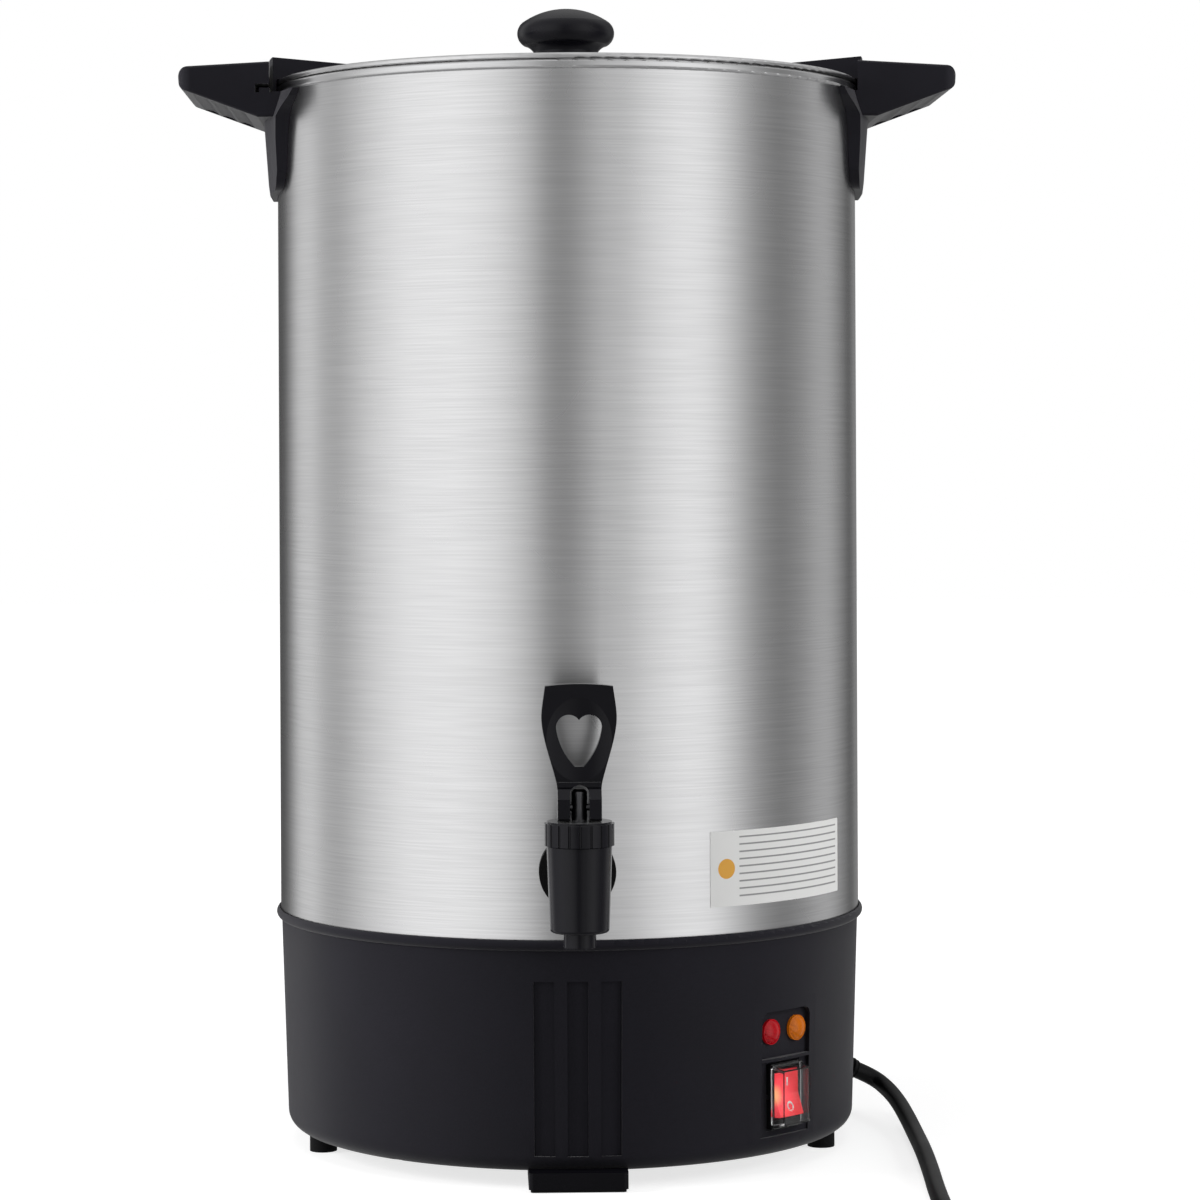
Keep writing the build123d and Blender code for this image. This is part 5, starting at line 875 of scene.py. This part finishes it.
class URN_OT_label(bpy.types.Operator):
    """Bare sticker on the pot with ruled lines and a plain dot, no words"""
    bl_idname = "urn.label"
    bl_label = "Bare label"

    def execute(self, context):
        label = context.scene.urn.label
        corner, gap, thickness, columns = 0.6, 0.03, 0.12, 48
        mesh = bmesh.new()
        outline = rounded(label.width / MM, label.height / MM, corner)
        face = mesh.faces.new([mesh.verts.new((x, y, 0)) for x, y in outline])
        extruded = bmesh.ops.extrude_face_region(mesh, geom=[face])
        for vert in extruded["geom"]:
            if isinstance(vert, bmesh.types.BMVert):
                vert.co.z = thickness
        # Upright cuts let the sheet bend round the pot; the outermost stay just inside its ends
        for cut in range(-columns // 2, columns // 2 + 1):
            place = Vector((cut * label.width / MM / columns * 0.999, 0, 0))
            bmesh.ops.bisect_plane(mesh, geom=mesh.verts[:] + mesh.edges[:] + mesh.faces[:], plane_co=place,
                                   plane_no=(1, 0, 0))
        for vert in mesh.verts:
            angle = label.azimuth + vert.co.x / POT_RADIUS
            radius = (POT_RADIUS + gap + vert.co.z) * MM
            vert.co = Vector((radius * cos(angle), radius * sin(angle), label.middle + vert.co.y * MM))
        made(mesh, "Bare_label", "label paper", "urn")
        return {"FINISHED"}


class URN_OT_relief(bpy.types.Operator):
    """Ribbed strain relief where the cord leaves the base"""
    bl_idname = "urn.relief"
    bl_label = "Strain relief"

    def execute(self, context):
        mesh = bmesh.new()
        # The flange inside the housing, the neck in its wall and the collar outside
        profile = [(0, -GLAND_LENGTH), (7.4, -GLAND_LENGTH), (7.6, -12.6), (7.6, -7.8), (7.3, -7.6),
                   (6.0, -7.6), (6.0, -3.4), (7.0, -3.2), (7.2, -2.8), (7.2, 0.2), (7.0, 0.7), (6.4, 1.2),
                   (5.6, 1.6)]
        # The ribs, which taper along the cord
        widest, narrowest, start, end, ribs = 5.4, 4.6, 1.9, 12.6, 5
        for rib in range(ribs):
            low = start + (end - start) * rib / ribs
            high = start + (end - start) * (rib + 0.62) / ribs
            wide = widest + (narrowest - widest) * rib / ribs
            profile += [(wide - 1.0, low), (wide - 0.15, low + 0.15), (wide, low + 0.45),
                        (wide - 0.1, high - 0.3), (wide - 0.35, high), (wide - 1.0, high + 0.1)]
        profile += [(4.1, 12.7), (4.4, 12.8), (4.4, GLAND_LENGTH), (0, GLAND_LENGTH)]
        turned(mesh, frame_along(GLAND_SEAT, GLAND_DIRECTION), profile, 48)
        made(mesh, "Strain_relief", "cord black", "urn", ["cord_gland"])
        return {"FINISHED"}


class URN_OT_plug(bpy.types.Operator):
    """Moulded grounded plug with a ribbed grip and tapered relief"""
    bl_idname = "urn.plug"
    bl_label = "Mains plug"

    def execute(self, context):
        sizes = context.scene.urn.cord
        low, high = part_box("plug_body")
        middle = (low + high) / 2 / MM
        front, back = low.x / MM, high.x / MM
        axis = frame_along((back, middle.y, PLUG_MIDDLE), (-1, 0, 0))
        mesh = bmesh.new()
        # The relief: ribs that widen from the cord to the body
        relief_length = 14.0
        profile = [(0, 0), (4.6, 0.0), (4.9, 0.3)]
        ribs = sizes.relief_ribs
        for rib in range(ribs):
            at = 1.0 + rib * 12.0 / ribs
            wide = 5.2 + 1.8 * rib / ribs
            profile += [(wide - 0.8, at), (wide, at + 0.3), (wide, at + 1.3), (wide - 0.8, at + 1.6)]
        profile += [(6.4, 13.4), (6.8, 15.0), (0, 15.0)]
        turned(mesh, axis, profile, 40)
        # The body: (share of its length, width, height)
        length = back - front - relief_length
        layered(mesh, axis, [
            (relief_length + length * share, rounded(width, height, 4.0, 8))
            for share, width, height in (
                (0.0, 17.0, 14.0), (0.03, 19.0, 16.0), (0.25, 21.4, 17.4), (0.45, 22.6, 17.6),
                (0.62, 25.0, 18.8), (0.66, 26.6, 19.8), (0.72, 27.0, 20.2), (0.96, 27.0, 20.2),
                (0.99, 26.6, 19.8), (1.0, 25.8, 19.0))])
        grip_ribs, grip_start, grip_pitch, grip_side = 5, 19.5, 2.9, 8.6
        for side in (-1, 1):
            for rib in range(grip_ribs):
                place = Vector((0, side * grip_side, grip_start + rib * grip_pitch)) * MM
                block(mesh, axis @ Matrix.Translation(place), (13.0, 1.0, 1.3))
        made(mesh, "Mains_plug", "cord black", "urn", ["plug_body"])
        return {"FINISHED"}


class URN_OT_switch_marks(bpy.types.Operator):
    """White on and off marks and the finger ribs of the rocker"""
    bl_idname = "urn.switch_marks"
    bl_label = "Switch marks"

    def execute(self, context):
        mark_place = 5.3
        mesh = bmesh.new()
        block(mesh, rocker_face(mark_place), (0.9, 3.6, 0.10), -0.02, 0.02)
        made(mesh, "Mark_on", "mark white", "switch_rocker")

        mesh = bmesh.new()
        rings = [circle(mesh, rocker_face(-mark_place), radius, height, 40, stretch=1.15)
                 for radius, height in ((1.95, -0.02), (1.95, 0.08), (1.2, 0.08), (1.2, -0.02))]
        for low, high in zip(rings, rings[1:] + rings[:1]):
            banded(mesh, low, high)
        made(mesh, "Mark_off", "mark white", "switch_rocker")

        mesh = bmesh.new()
        lowest_rib, rib_pitch = -9.1, 0.62
        for rib in range(5):
            block(mesh, rocker_face(lowest_rib + rib * rib_pitch), (11.6, 0.3, 0.25), -0.05, 0.06)
        made(mesh, "Rocker_ribs", "rocker red", "switch_rocker")
        return {"FINISHED"}


class URN_PT_panel(bpy.types.Panel):
    """The urn's sizes, colours and pieces in the sidebar"""
    bl_label = "Coffee Urn"
    bl_idname = "URN_PT_panel"
    bl_space_type = "VIEW_3D"
    bl_region_type = "UI"
    bl_category = "Coffee Urn"

    def draw(self, context):
        settings = context.scene.urn
        for group in (settings.steel, settings.plastic, settings.lamps, settings.cord, settings.label,
                      settings.studio):
            box = self.layout.box()
            for key in group.__annotations__:
                box.prop(group, key)
        for operator in OPERATORS:
            self.layout.operator(operator.bl_idname)


SIZES = (UrnSteel, UrnPlastic, UrnLamps, UrnCord, UrnLabel, UrnStudio, UrnSettings)
# In the order that main calls them: the cord needs the plug
OPERATORS = (URN_OT_studio, URN_OT_plug, URN_OT_cord, URN_OT_finishes, URN_OT_spring, URN_OT_label,
             URN_OT_relief, URN_OT_switch_marks)


def register():
    for kind in SIZES + OPERATORS + (URN_PT_panel,):
        bpy.utils.register_class(kind)
    bpy.types.Scene.urn = PointerProperty(type=UrnSettings, name="Coffee urn",
                                          description="Sizes and colours")


def unregister():
    del bpy.types.Scene.urn
    for kind in reversed(SIZES + OPERATORS + (URN_PT_panel,)):
        bpy.utils.unregister_class(kind)


def main():
    register()
    FINISHES.update(make_finishes(bpy.context.scene.urn))
    for operator in OPERATORS:
        family, action = operator.bl_idname.split(".")
        getattr(getattr(bpy.ops, family), action)()
    bpy.context.view_layer.update()


if __name__ == "__main__":
    main()
